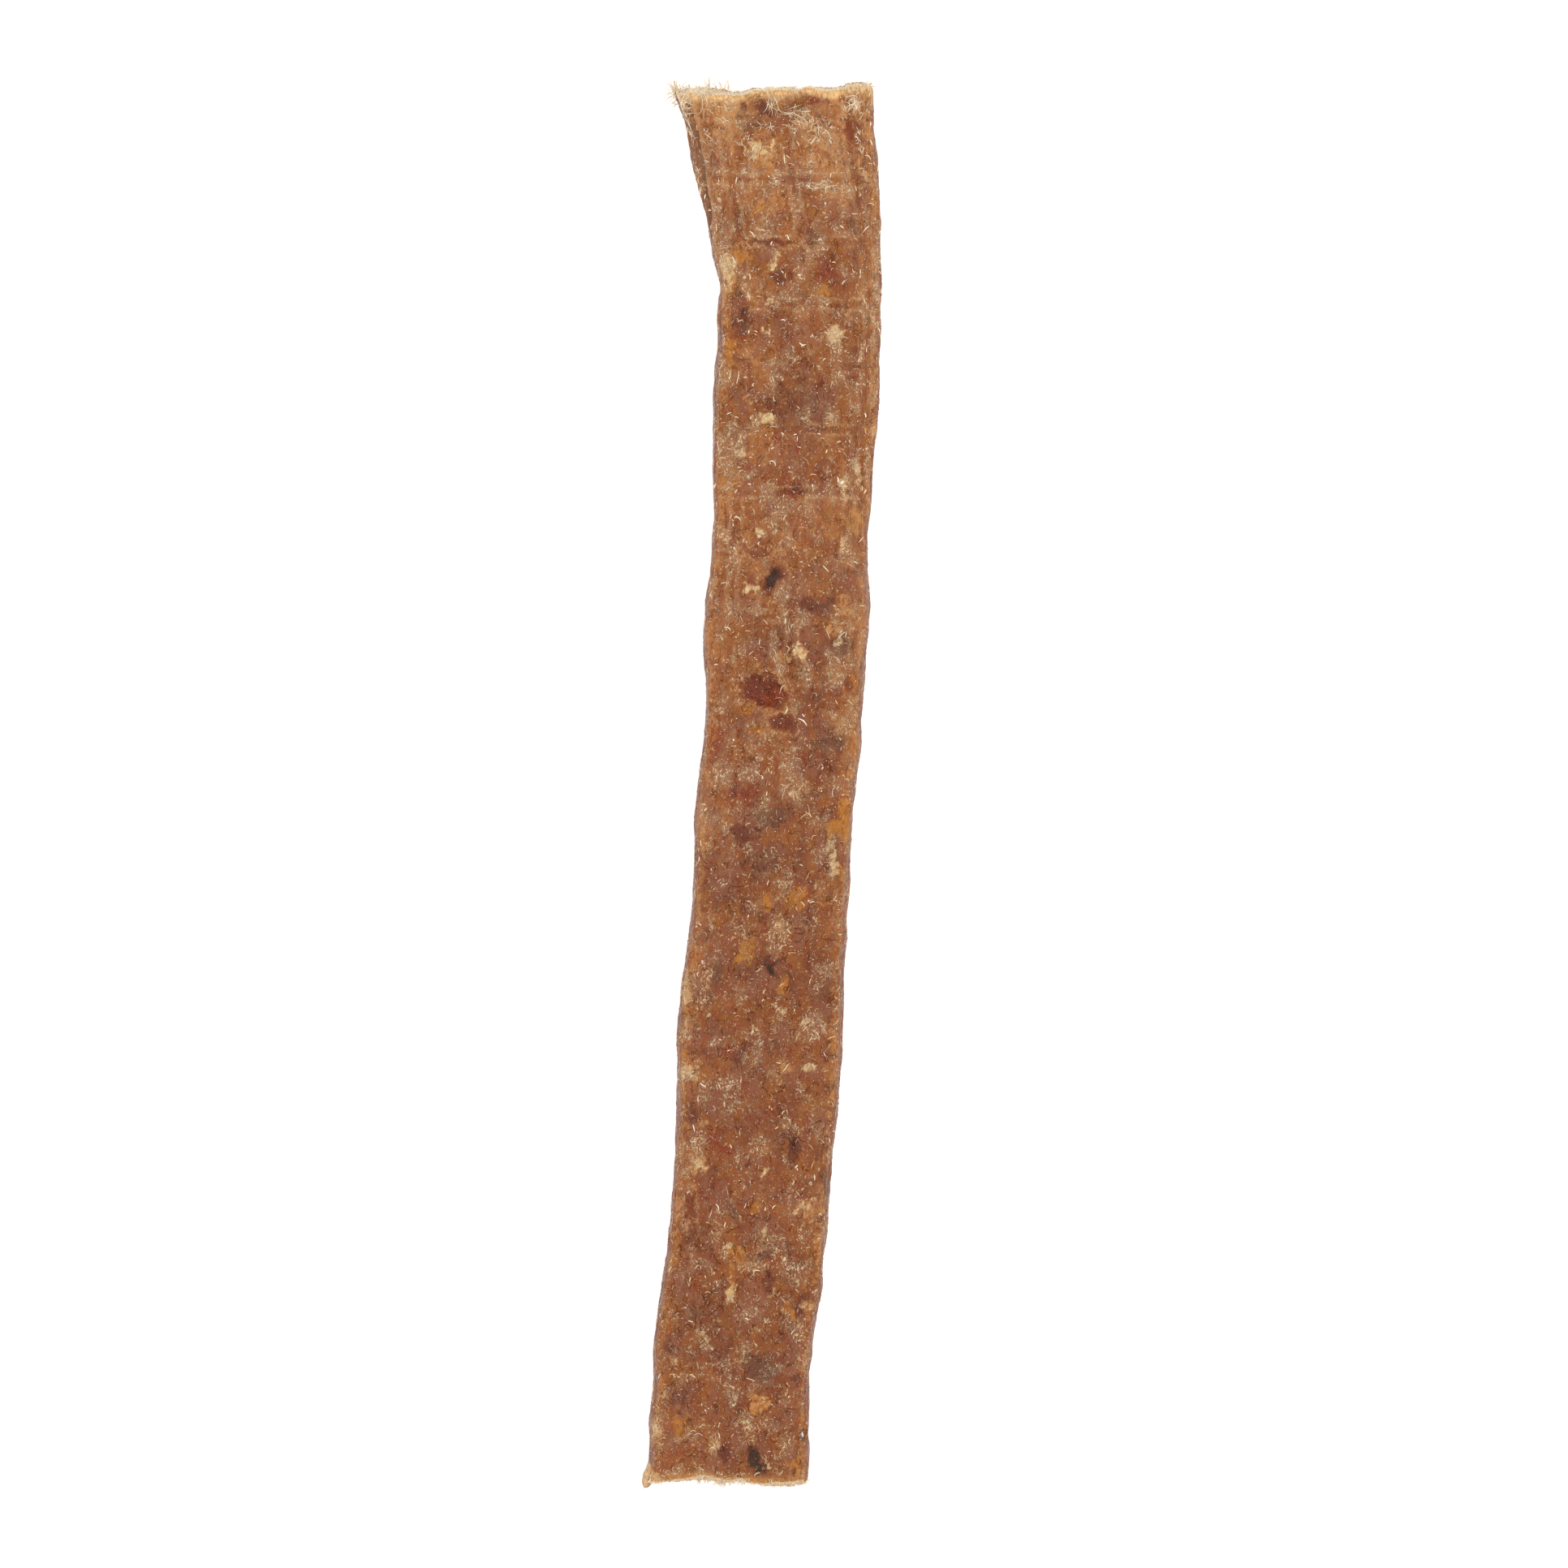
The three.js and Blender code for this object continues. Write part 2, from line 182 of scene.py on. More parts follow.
# The bits in the mince: what each kind is, then for each bit where its middle is, half its width and
# length, how far its length leans clockwise from the strip's, in degrees, and how strongly it shows.
BITS = {
    "cream": [
        (9.9, 64.1, 1.6, 1.0, 0, 1.0),
        (15.7, 50.8, 0.6, 1.3, 0, 0.7),
        (0.5, 64.3, 0.9, 0.7, 20, 0.7),
        (-1.1, 90.7, 0.6, 0.9, 15, 0.85),
        (0.2, 90.2, 0.9, 0.6, 0, 0.85),
        (0.9, 91.1, 0.4, 0.8, 20, 0.8),
        (0.5, 52.2, 1.1, 0.8, 0, 0.9),
        (-3.5, 47.7, 0.8, 0.7, 0, 0.9),
        (11.6, 42.0, 0.4, 1.7, -20, 0.9),
        (-5.2, 73.4, 0.8, 2.3, -5, 1.0),
        (-1.9, 27.6, 1.4, 0.6, 15, 1.0),
        (-0.8, 36.2, 0.8, 0.4, -5, 0.8),
        (11.4, 34.4, 0.7, 0.8, 0, 0.7),
        (5.3, 18.8, 0.7, 1.7, -25, 0.85),
        (1.2, 20.4, 0.5, 1.2, -50, 0.5),
        (9.8, -11.3, 0.6, 2.6, 2, 0.95),
        (4.0, -1.3, 1.2, 0.5, 25, 0.8),
        (-11.3, -29.2, 1.0, 2.4, 5, 1.0),
        (6.0, -60.6, 0.45, 1.8, 50, 0.7),
        (-1.9, -35.4, 0.3, 1.4, -5, 0.8),
        (2.0, -32.1, 1.2, 0.4, 20, 0.8),
        (6.4, -34.1, 0.5, 0.9, -20, 0.8),
        (-11.0, -41.6, 1.2, 1.0, 40, 0.9),
        (6.6, -40.6, 0.7, 0.6, 0, 0.8),
        (0.6, -55.6, 0.5, 0.45, 0, 0.9),
        (-8.9, -54.5, 0.5, 1.2, -35, 0.7),
        (0.2, -64.2, 0.65, 0.9, 10, 0.95),
        (-5.5, -66.6, 0.6, 0.6, 0, 0.85),
        (-4.6, -73.0, 0.5, 1.4, 10, 0.9),
        (1.8, -72.6, 0.6, 0.2, -15, 0.9),
        (6.4, -74.4, 1.1, 1.0, 0, 0.6),
        (-8.0, -79.5, 0.4, 1.2, -20, 0.9),
        (-12.6, -82.8, 0.5, 0.5, 0, 0.7),
        (-3.3, -83.0, 1.0, 0.7, 0, 0.6),
        (-4.2, -88.2, 0.4, 0.5, 0, 0.8),
        (-2.4, -91.4, 0.5, 1.2, -35, 0.8),
        (-7.3, -94.6, 0.9, 1.2, 10, 0.7),
        (0.3, -97.6, 0.3, 0.9, 15, 0.8),
        (-15.0, -99.2, 1.2, 0.8, 10, 0.9),
        (14.6, 86.9, 0.5, 0.8, -10, 1.0),
        (1.6, 74.4, 0.5, 1.6, 30, 0.7),
        (0.9, 68.8, 0.95, 0.2, 5, 0.9),
        (-15.6, -92.6, 0.5, 1.7, 5, 0.8),
        (13.4, 44.5, 0.5, 2.2, 0, 0.8),
        (10.9, 20.6, 0.4, 1.6, 5, 0.7),
        (6.6, 94.6, 2.8, 1.0, 35, 0.5),
        (8.4, -64.0, 0.4, 0.4, 0, 0.6),
    ],
    "fat": [
        (-8.4, 97.8, 3.8, 2.4, 0, 1.0),
        (-5.2, 96.6, 1.7, 2.8, 0, 0.95),
        (-6.8, 92.8, 2.2, 2.6, 0, 0.6),
        (0.5, 90.1, 2.3, 2.2, 20, 0.8),
        (9.8, 89.5, 4.6, 3.3, 0, 0.45),
        (15.6, 50.8, 0.8, 1.5, 0, 1.0),
        (10.1, 22.0, 0.8, 1.1, 0, 0.9),
        (5.3, 18.5, 1.2, 1.7, -25, 0.8),
        (0.1, 81.9, 3.6, 3.4, 0, 0.35),
        (2.0, 15.0, 0.35, 2.3, -33, 0.8),
        (-2.0, 54.8, 1.1, 1.2, 0, 0.6),
        (13.4, 37.0, 1.7, 1.9, 0, 0.5),
        (11.8, 24.8, 1.2, 2.6, 0, 0.45),
        (-3.6, -66.9, 1.7, 1.2, 0, 0.4),
        (5.7, 40.4, 1.3, 1.1, 0, 0.6),
        (2.5, 17.5, 1.3, 1.0, 30, 0.6),
        (2.7, -20.3, 1.3, 0.9, 20, 0.75),
        (6.4, -61.0, 2.4, 1.9, 30, 0.65),
        (8.0, -65.4, 1.1, 2.8, -15, 0.6),
        (2.7, -41.1, 2.6, 1.3, 0, 0.6),
        (-9.1, -54.4, 1.4, 1.4, 0, 0.8),
        (-0.6, -88.9, 1.7, 1.5, -40, 0.8),
        (-9.0, -48.7, 0.6, 0.5, 0, 0.7),
        (9.0, -15.0, 1.8, 3.0, 0, 0.45),
        (-10.6, -35.0, 1.6, 5.0, 0, 0.35),
        (-2.6, 5.0, 1.9, 1.6, 0, 0.35),
    ],
    "amber": [
        (-4.7, 61.0, 1.1, 2.4, 10, 0.8),
        (13.3, 37.4, 2.1, 2.2, 0, 0.6),
        (11.5, 24.4, 1.7, 2.6, 0, 0.35),
        (-2.0, 10.6, 1.7, 0.9, -15, 0.6),
        (1.2, 10.1, 1.9, 0.6, -10, 0.45),
        (-0.7, 7.7, 1.6, 1.1, 0, 0.7),
        (12.0, -5.3, 1.8, 3.1, 5, 1.0),
        (9.9, -6.3, 1.6, 2.0, 20, 0.7),
        (4.8, -16.2, 1.6, 2.2, 15, 0.65),
        (0.4, -16.8, 1.1, 1.6, 0, 0.7),
        (-2.5, -24.1, 1.2, 2.3, 25, 0.8),
        (2.9, -29.0, 1.1, 1.0, 0, 0.65),
        (-3.8, -67.1, 2.3, 1.6, 0, 0.6),
        (-1.1, -60.8, 0.6, 1.0, 15, 0.8),
        (3.8, -75.4, 0.6, 1.9, -25, 0.7),
        (-4.6, -71.0, 0.7, 2.4, 0, 0.6),
        (-0.6, -89.0, 2.1, 1.7, -35, 0.7),
        (5.3, -96.8, 2.0, 2.4, 0, 0.6),
        (-11.6, -92.2, 1.6, 2.2, 20, 0.6),
        (9.7, 98.7, 1.8, 0.8, 0, 0.9),
        (-3.5, 75.4, 2.0, 1.5, 0, 0.8),
        (8.1, 70.1, 1.0, 0.8, 0, 0.8),
        (-0.9, 82.0, 1.8, 1.4, 0, 0.6),
        (10.6, -36.9, 0.5, 1.6, 0, 0.8),
        (3.1, 97.6, 2.6, 1.0, 0, 0.6),
        (13.3, 14.0, 0.5, 3.0, 0, 0.6),
    ],
    "red": [
        (-3.9, 64.1, 1.6, 1.2, 0, 1.0),
        (1.9, 49.7, 1.2, 1.6, 10, 0.8),
        (-1.9, 45.1, 1.2, 1.2, 0, 0.7),
        (4.8, 42.0, 1.3, 1.1, 0, 1.0),
        (8.9, 73.1, 1.3, 1.6, 0, 0.9),
        (-6.9, 6.6, 1.1, 3.6, 8, 1.0),
        (-2.7, -1.5, 2.4, 1.6, 0, 0.9),
        (6.4, -16.3, 0.4, 1.4, 0, 0.9),
        (0.9, 12.1, 2.2, 1.0, -12, 1.0),
        (0.2, -20.3, 0.7, 1.1, 20, 0.8),
        (0.1, -29.2, 0.6, 1.2, 0, 0.7),
        (-4.6, -38.2, 1.4, 0.8, 0, 0.9),
        (3.8, -38.6, 0.5, 1.3, -20, 0.8),
        (-5.8, -52.0, 2.0, 1.3, 30, 0.8),
        (1.3, -70.0, 1.6, 2.6, 0, 0.6),
        (-9.5, -72.2, 0.9, 0.9, 0, 0.9),
        (-14.1, -89.8, 0.7, 0.8, 0, 0.9),
        (-6.9, 90.8, 0.7, 1.8, 0, 0.7),
        (12.8, 92.6, 1.3, 2.3, -8, 0.9),
        (7.6, 98.0, 2.6, 1.0, 0, 0.8),
        (8.6, 33.2, 1.8, 0.7, 0, 0.5),
        (11.0, 46.0, 0.8, 3.2, 0, 0.5),
        (1.2, -46.5, 1.4, 2.6, 15, 0.5),
        (-8.1, -58.5, 1.4, 2.8, 0, 0.5),
        (5.7, -91.8, 1.8, 1.2, 0, 0.6),
        (-12.0, -96.0, 2.6, 1.0, -30, 0.6),
    ],
    "liver": [
        (0.1, 13.1, 3.2, 2.1, 18, 1.0),
        (2.9, 8.6, 1.7, 1.2, 10, 1.0),
        (-0.7, 33.4, 3.0, 0.9, 5, 0.5),
        (12.8, 93.6, 1.1, 1.8, -15, 0.9),
        (1.6, 77.4, 3.4, 0.8, 0, 0.7),
        (-10.7, -60.6, 1.5, 2.6, 0, 0.55),
    ],
    "plum": [
        (-3.0, 66.2, 1.6, 2.1, 10, 1.0),
        (1.6, 28.8, 1.1, 2.2, 40, 1.0),
        (7.2, 25.4, 2.6, 1.1, 0, 0.9),
        (6.1, 25.2, 1.3, 0.9, 0, 1.0),
        (4.9, 42.2, 1.2, 0.9, 0, 0.75),
        (-3.1, -1.2, 1.5, 1.1, 0, 0.5),
        (-2.9, -7.2, 1.9, 1.5, 30, 0.9),
        (7.0, -20.0, 1.2, 2.0, 0, 0.5),
        (-8.9, -21.8, 1.5, 1.5, 0, 0.55),
        (1.1, -26.2, 0.8, 1.9, -25, 1.0),
        (-9.0, -38.6, 1.3, 1.3, 0, 0.5),
        (-3.5, -39.3, 0.7, 2.0, 30, 0.8),
        (9.0, -38.3, 0.8, 1.1, -20, 0.7),
        (5.6, -44.5, 1.0, 1.5, 10, 0.45),
        (-10.2, -47.0, 1.3, 1.4, 0, 0.9),
        (4.2, -51.6, 0.8, 2.6, 5, 0.9),
        (0.1, -67.6, 1.3, 0.7, 0, 0.8),
        (1.0, -71.0, 1.0, 1.1, 0, 0.9),
        (5.0, -74.7, 0.5, 1.9, 0, 0.9),
        (-13.0, -80.7, 1.7, 1.5, 0, 0.7),
        (-7.9, -82.7, 0.5, 0.6, 0, 0.9),
        (5.0, -84.7, 1.0, 1.1, 0, 0.9),
        (-11.9, -87.6, 1.2, 2.0, 35, 0.8),
        (-5.5, -95.0, 1.2, 1.6, 0, 0.9),
        (2.6, 72.6, 1.3, 1.1, 0, 0.8),
        (0.4, 96.2, 2.2, 1.2, 0, 0.8),
        (9.6, 94.0, 1.8, 0.9, 30, 0.6),
        (9.9, 33.5, 0.5, 0.8, 0, 0.8),
        (7.5, 17.0, 0.9, 0.9, 0, 0.6),
        (9.6, 55.5, 0.9, 3.2, 0, 0.4),
        (9.4, -27.0, 0.8, 2.6, 0, 0.4),
    ],
    "dark": [
        (-1.1, -96.9, 1.1, 1.9, -8, 0.9),
        (9.5, -57.6, 0.6, 2.0, 5, 0.9),
        (1.4, 28.7, 0.9, 1.8, 38, 0.8),
        (1.1, -26.3, 0.45, 1.3, -25, 1.0),
        (4.3, -51.6, 0.5, 0.7, 0, 0.6),
        (-5.4, -94.8, 0.6, 0.9, 0, 0.5),
        (-2.6, 67.0, 0.8, 1.2, 10, 0.5),
    ],
    "slate": [
        (6.2, 53.6, 3.3, 3.6, 0, 0.55),
        (7.6, 77.9, 1.0, 1.4, -40, 1.0),
        (12.7, 79.7, 1.3, 0.9, 20, 0.9),
        (9.4, 25.5, 0.9, 1.3, 0, 1.0),
        (11.3, 19.8, 1.5, 1.6, 0, 0.9),
        (9.7, 5.9, 2.5, 1.5, 0, 0.9),
        (0.9, -4.8, 2.2, 1.7, 0, 0.9),
        (0.6, -11.0, 2.4, 2.0, 0, 0.6),
        (-6.1, -17.0, 2.0, 1.6, 0, 0.45),
        (-6.2, -27.2, 0.9, 1.7, 10, 0.7),
        (-7.9, -30.9, 1.1, 0.9, 0, 0.7),
        (-3.2, -40.0, 1.6, 1.7, 0, 0.4),
        (9.1, -57.3, 0.9, 2.5, 5, 1.0),
        (-4.3, -61.0, 0.9, 1.5, -10, 1.0),
        (-0.6, -83.2, 2.6, 1.9, 10, 1.0),
        (-9.5, -75.3, 1.0, 1.1, 0, 0.7),
        (-3.0, 96.3, 0.8, 1.4, 0, 0.8),
        (4.1, 96.0, 2.6, 1.4, 0, 0.7),
        (-1.6, 94.2, 1.6, 1.2, 0, 0.7),
        (-3.7, 70.4, 1.1, 1.4, 0, 0.8),
        (0.9, 40.0, 0.8, 1.6, 0, 0.5),
        (8.8, -30.0, 1.6, 2.4, 0, 0.5),
        (2.4, -51.0, 1.4, 2.4, 0, 0.4),
        (-11.5, 31.0, 1.6, 1.2, 0, 0.4),
    ],
}
# How steeply a bit fades out, how flat its middle is, and how much of it shows on the flanks.
BIT_FALL, BIT_FLATNESS = 0.7, 1.3
SHOWN_ON_FLANK = 0.6
# The bits' outlines wobble: how long a wobble is, and how far it goes.
EDGE_WOBBLES = [(2.4, 0.9), (0.9, 0.75)]


def bits_at(kind, wobble):
    """How much of one kind of bit is at each place: 1 in a bit's middle, 0 well outside it."""
    amount = np.zeros(len(place))
    xs = place[:, 0] + wobble[0]
    ys = place[:, 1] + wobble[1]
    for x, y, half_width, half_length, lean, strength in BITS[kind]:
        c, s = math.cos(math.radians(lean)), math.sin(math.radians(lean))
        across = ((xs - x) * c - (ys - y) * s) / half_width
        lengthways = ((xs - x) * s + (ys - y) * c) / half_length
        away = across**2 + lengthways**2
        amount = np.maximum(amount, strength * np.exp(-BIT_FALL * away**BIT_FLATNESS))
    return amount


wobble = [sum(by * hills(place, (size,) * 3, seed) for size, by in EDGE_WOBBLES) for seed in (1, 2)]
shown = {kind: bits_at(kind, wobble) * np.clip(upper + SHOWN_ON_FLANK * flank, 0, 1) for kind in BITS}

# The tray's mesh pressed squares into both faces: crisp raised pads towards the flared end of the
# upper face, faint elsewhere.
FLARE = (74, 80)
WIRE_PITCH = 8.955
WIRE_PHASE = 86.38
WIRE_ACROSS_PHASE = 0.9
WIRE_BEND = 0.3
WIRE_HALF_WIDTH = 0.55
PAD_FROM_WIRE = WIRE_HALF_WIDTH + 0.25
PAD_RIM_WIDTH = 0.22
PAD_STEP = 0.08
bent = WIRE_BEND * hills(place, (5, 5, 5), 3)
wires_across = (from_middle + bent - WIRE_ACROSS_PHASE) / WIRE_PITCH
wires_along = (along + bent - WIRE_PHASE) / WIRE_PITCH
from_wire = [np.abs(turns - np.round(turns)) for turns in (wires_across, wires_along)]
nearest_wire = WIRE_PITCH * np.minimum(*from_wire)
over_flare = ease(along, *FLARE)
crisp = (0.25 + 0.75 * ease(along, 8, 26)) * ease(hills(place, (7, 7, 7), 4), -0.35, 0.35)
crisp = np.maximum(crisp, over_flare * (1 - ease(along, 92, 94)))
trough = (1 - ease(nearest_wire, WIRE_HALF_WIDTH - 0.2, PAD_FROM_WIRE)) * crisp * upper
pad_rim = bump(nearest_wire, PAD_FROM_WIRE, PAD_RIM_WIDTH) * crisp * upper
under_trough = (1 - ease(nearest_wire, 0.3, 0.9)) * under

# The flared left flank is two layers: a pale lip where the upper one ends, a ledge of the lower one outside
# it, darkened in part by painted shade, and a steep brown slope inside. Towards the flared end the right
# side is a streaky bevel.
LEDGE_WIDTH = 2.0
SLOPE_WIDTH = 1.9
BEVEL_WIDTH = 4.2
LIP_WIDTH, CREASE_WIDTH = 0.3, 0.28
from_left = place[:, 0] - left_edge
from_right = right_edge - place[:, 0]
ledge_width = LEDGE_WIDTH * ease(along, 73, 90)
inwards = from_left + 0.25 * hills(place, (2, 4, 2), 13) - ledge_width
on_flare = over_flare * (1 - under)
ledge = (1 - ease(inwards, -0.35, 0.05)) * on_flare
lip = bump(inwards, 0.25, LIP_WIDTH) * on_flare
crease = bump(inwards, -0.15, CREASE_WIDTH) * on_flare
slope = (1 - ease(inwards, SLOPE_WIDTH - 0.3, SLOPE_WIDTH + 0.3)) * on_flare
bevel = (1 - ease(from_right, BEVEL_WIDTH - 0.4, BEVEL_WIDTH + 0.2)) * ease(along, 30, 40) * (1 - under)
streaked = np.clip(np.maximum(slope, bevel) + 0.4 * flank, 0, 1)

# Relief: lumps on the upper face, long fibres down the flanks, torn fibres on the cut ends. For each layer
# of it: its height, the size of its bumps across, along and up, its random seed and how rough it is.
LUMPS = [(0.10, (2.4, 2.4, 2.4), 5, 3), (0.05, (0.9, 1.3, 0.9), 6, 3)]
FLANK_FIBRES = [(0.16, (0.7, 5.5, 0.8), 7, 3), (0.05, (0.6, 1.2, 0.6), 8, 2)]
TORN_ENDS = [(0.32, (0.9, 2.5, 0.9), 9, 3)]
PORES = [(0.05, (0.8, 0.8, 0.8), 10, 3)]
STREAKS = [(0.11, (0.55, 5.0, 0.7), 14, 3)]
# How far each kind of bit stands out of the upper face, or lies below it.
RISE = {
    "cream": 0.12, "fat": 0.06, "amber": 0.02, "red": -0.04, "liver": -0.10, "plum": -0.05, "dark": -0.12,
}
LIP_RISE, LEDGE_DROP, CREASE_DEPTH = 0.12, 0.20, 0.15


def layered(places, layers):
    return sum(height * hills(places, size, seed, octaves) for height, size, seed, octaves in layers)


lumps = layered(place, LUMPS)
relief = (
    upper * (lumps + sum(rise * shown[kind] for kind, rise in RISE.items())) - PAD_STEP * trough
    + flank * layered(place, FLANK_FIBRES) + cut * layered(place, TORN_ENDS)
    + under * (layered(place, PORES) + 0.5 * lumps) + streaked * layered(place, STREAKS)
    + LIP_RISE * lip - LEDGE_DROP * ledge - CREASE_DEPTH * crease
)
move_vertices(strip.data, place + facing * relief[:, None])


def mark(piece, name, values):
    """Keeps a value for each of a piece's vertices, for its material to read."""
    kept = piece.data.attributes.new(name, "FLOAT", "POINT")
    kept.data.foreach_set("value", np.asarray(values, np.float32))


# The upper edges along both sides, and the rims of the upper face at both cut ends.
edge_gap = np.minimum(from_left, from_right) + 0.5 * hills(place, (3, 2, 3), 15, 3)
edge = (1 - ease(edge_gap, 0.4, 2.4)) * upper * (1 - over_flare * (from_left < from_right))
upward = facing[:, 2] > 0.6
ragged_line = 0.5 * hills(place, (1.3, 1.3, 2.0), 17, 3)
far_band = 1 - ease(end_line(np.max, upward, initial=0) - along + 1.4 * ragged_line, 0.3, 1.7)
near_band = 0.7 * (1 - ease(along - end_line(np.min, upward, initial=0) + 0.8 * ragged_line, -0.2, 1.2))
end_band = np.maximum(far_band * ease(along, 96.8, 97.8), near_band * ease(-along, 97.2, 98.2))

# The cut faces are brown low down and pale above, the middle is darker than the sides, and the strip
# pales towards its flared end, most of all on the left.
crust = 0.25 + 0.75 * ease(place[:, 2] + 1.8 * hills(place, (1.5, 1.5, 0.9), 18, 3), 1.8, 4.0)
middle_share = np.abs(from_middle) / np.maximum((right_edge - left_edge) / 2, 1)
middle = (1 - ease(middle_share, 0.35, 0.95)) * upper * (1 - 0.8 * ease(along, 55, 75))
pale_end = 0.6 * ease(along, -50, 35) + 0.5 * ease(along, 80, 99)
pale_end = pale_end + 0.14 * ease(along, 55, 75) * ease(-from_middle, -4, 6)
fuzzy = 0.5 + 0.5 * hills(place, (2.4, 3.4, 2.4), 12, 4) - 0.5 * shown["liver"] - 0.25 * shown["red"]
fuzzy = np.clip(fuzzy + 0.25 * pad_rim - 0.15 * ease(along, 84, 92) + 0.3 * shown["cream"], 0, 1)

for name, values in {
    **shown,
    # The wire troughs, which the meat's tone darkens as painted shade.
    "trough": np.maximum(trough, 0.7 * under_trough),
    "pad_rim": pad_rim,
    "crisp": np.maximum(crisp, 0.5 * ease(along, 10, 30)) * upper,
    "wires_across": wires_across,
    "wires_along": wires_along,
    # Painted shade: more where the relief lies low, to darken the hollows.
    "hollow_shade": np.clip(0.5 - relief / 0.5, 0, 1),
    "edge": edge,
    "cut": cut * crust,
    "end_rim": np.clip(end_band, 0, 1) * ease(facing[:, 2], 0.2, 0.6),
    "far_half": ease(along, -1, 1),
    # Painted shade: how steep a flank is, to darken it.
    "steep_shade": (1 - ease(facing[:, 2], 0.10, 0.55)) * (1 - under) * (1 - cut),
    "middle": middle,
    "ledge": ledge,
    "lip": lip,
    "crease": crease,
    "streaked": streaked,
    "pale_end": pale_end * (1 - under),
    "fuzzy": fuzzy,
}.items():
    mark(strip, name, values)

# The meat's colours from its darkest to its palest, and what lies over them.
DRY_MEAT = [
    (0.00, (0.090, 0.017, 0.003)),
    (0.28, (0.174, 0.039, 0.006)),
    (0.50, (0.262, 0.073, 0.0145)),
    (0.70, (0.360, 0.119, 0.030)),
    (1.00, (0.555, 0.245, 0.078)),
]
BIT_COLOURS = {
    "liver": (0.148, 0.025, 0.007),
    "red": (0.225, 0.035, 0.005),
    "amber": (0.455, 0.160, 0.014),
    "fat": (0.560, 0.270, 0.092),
    "slate": (0.118, 0.040, 0.016),
    "plum": (0.130, 0.025, 0.008),
    "dark": (0.032, 0.011, 0.005),
    "cream": (0.780, 0.550, 0.265),
}
# How much of each kind of bit covers the meat.
BIT_SHARES = {
    "liver": 0.95, "red": 0.85, "amber": 0.9, "fat": 0.95,
    "slate": 0.64, "plum": 0.88, "dark": 0.9, "cream": 1.0,
}
DARKEST_MEAT = DRY_MEAT[0][1]
DARK_MEAT = DRY_MEAT[1][1]
GOLD = (0.375, 0.136, 0.021)
PLAIN_MEAT = (0.262, 0.065, 0.013)
MAUVE_MEAT = (0.250, 0.086, 0.042)
RUSTY_MEAT = (0.300, 0.086, 0.008)
DUSK = (0.155, 0.056, 0.026)
FUZZ = (0.470, 0.245, 0.125)
HAIR = (0.540, 0.280, 0.120)
PALE_HAIR = (0.910, 0.695, 0.430)
GLINT = (0.980, 0.900, 0.780)
EDGE_MEAT = (0.520, 0.215, 0.048)
FAR_CUT_FACE = (1.000, 0.860, 0.600)
NEAR_CUT_FACE = (0.900, 0.610, 0.310)
FAR_RIM = (0.880, 0.560, 0.250)
NEAR_RIM = (0.660, 0.330, 0.100)
LEDGE_MEAT_AND_SHADE = (0.240, 0.086, 0.024)
MEAT_SHADER = {
    "IOR": 1.29,
    "Coat Weight": 0.12,
    "Coat Roughness": 0.16,
    "Coat IOR": 1.4,
    "Subsurface Weight": 0.2,
    "Subsurface Radius": (1.0, 0.35, 0.15),
    "Subsurface Scale": 0.6 * MM,
}
BUMP_HEIGHT = 0.30 * MM


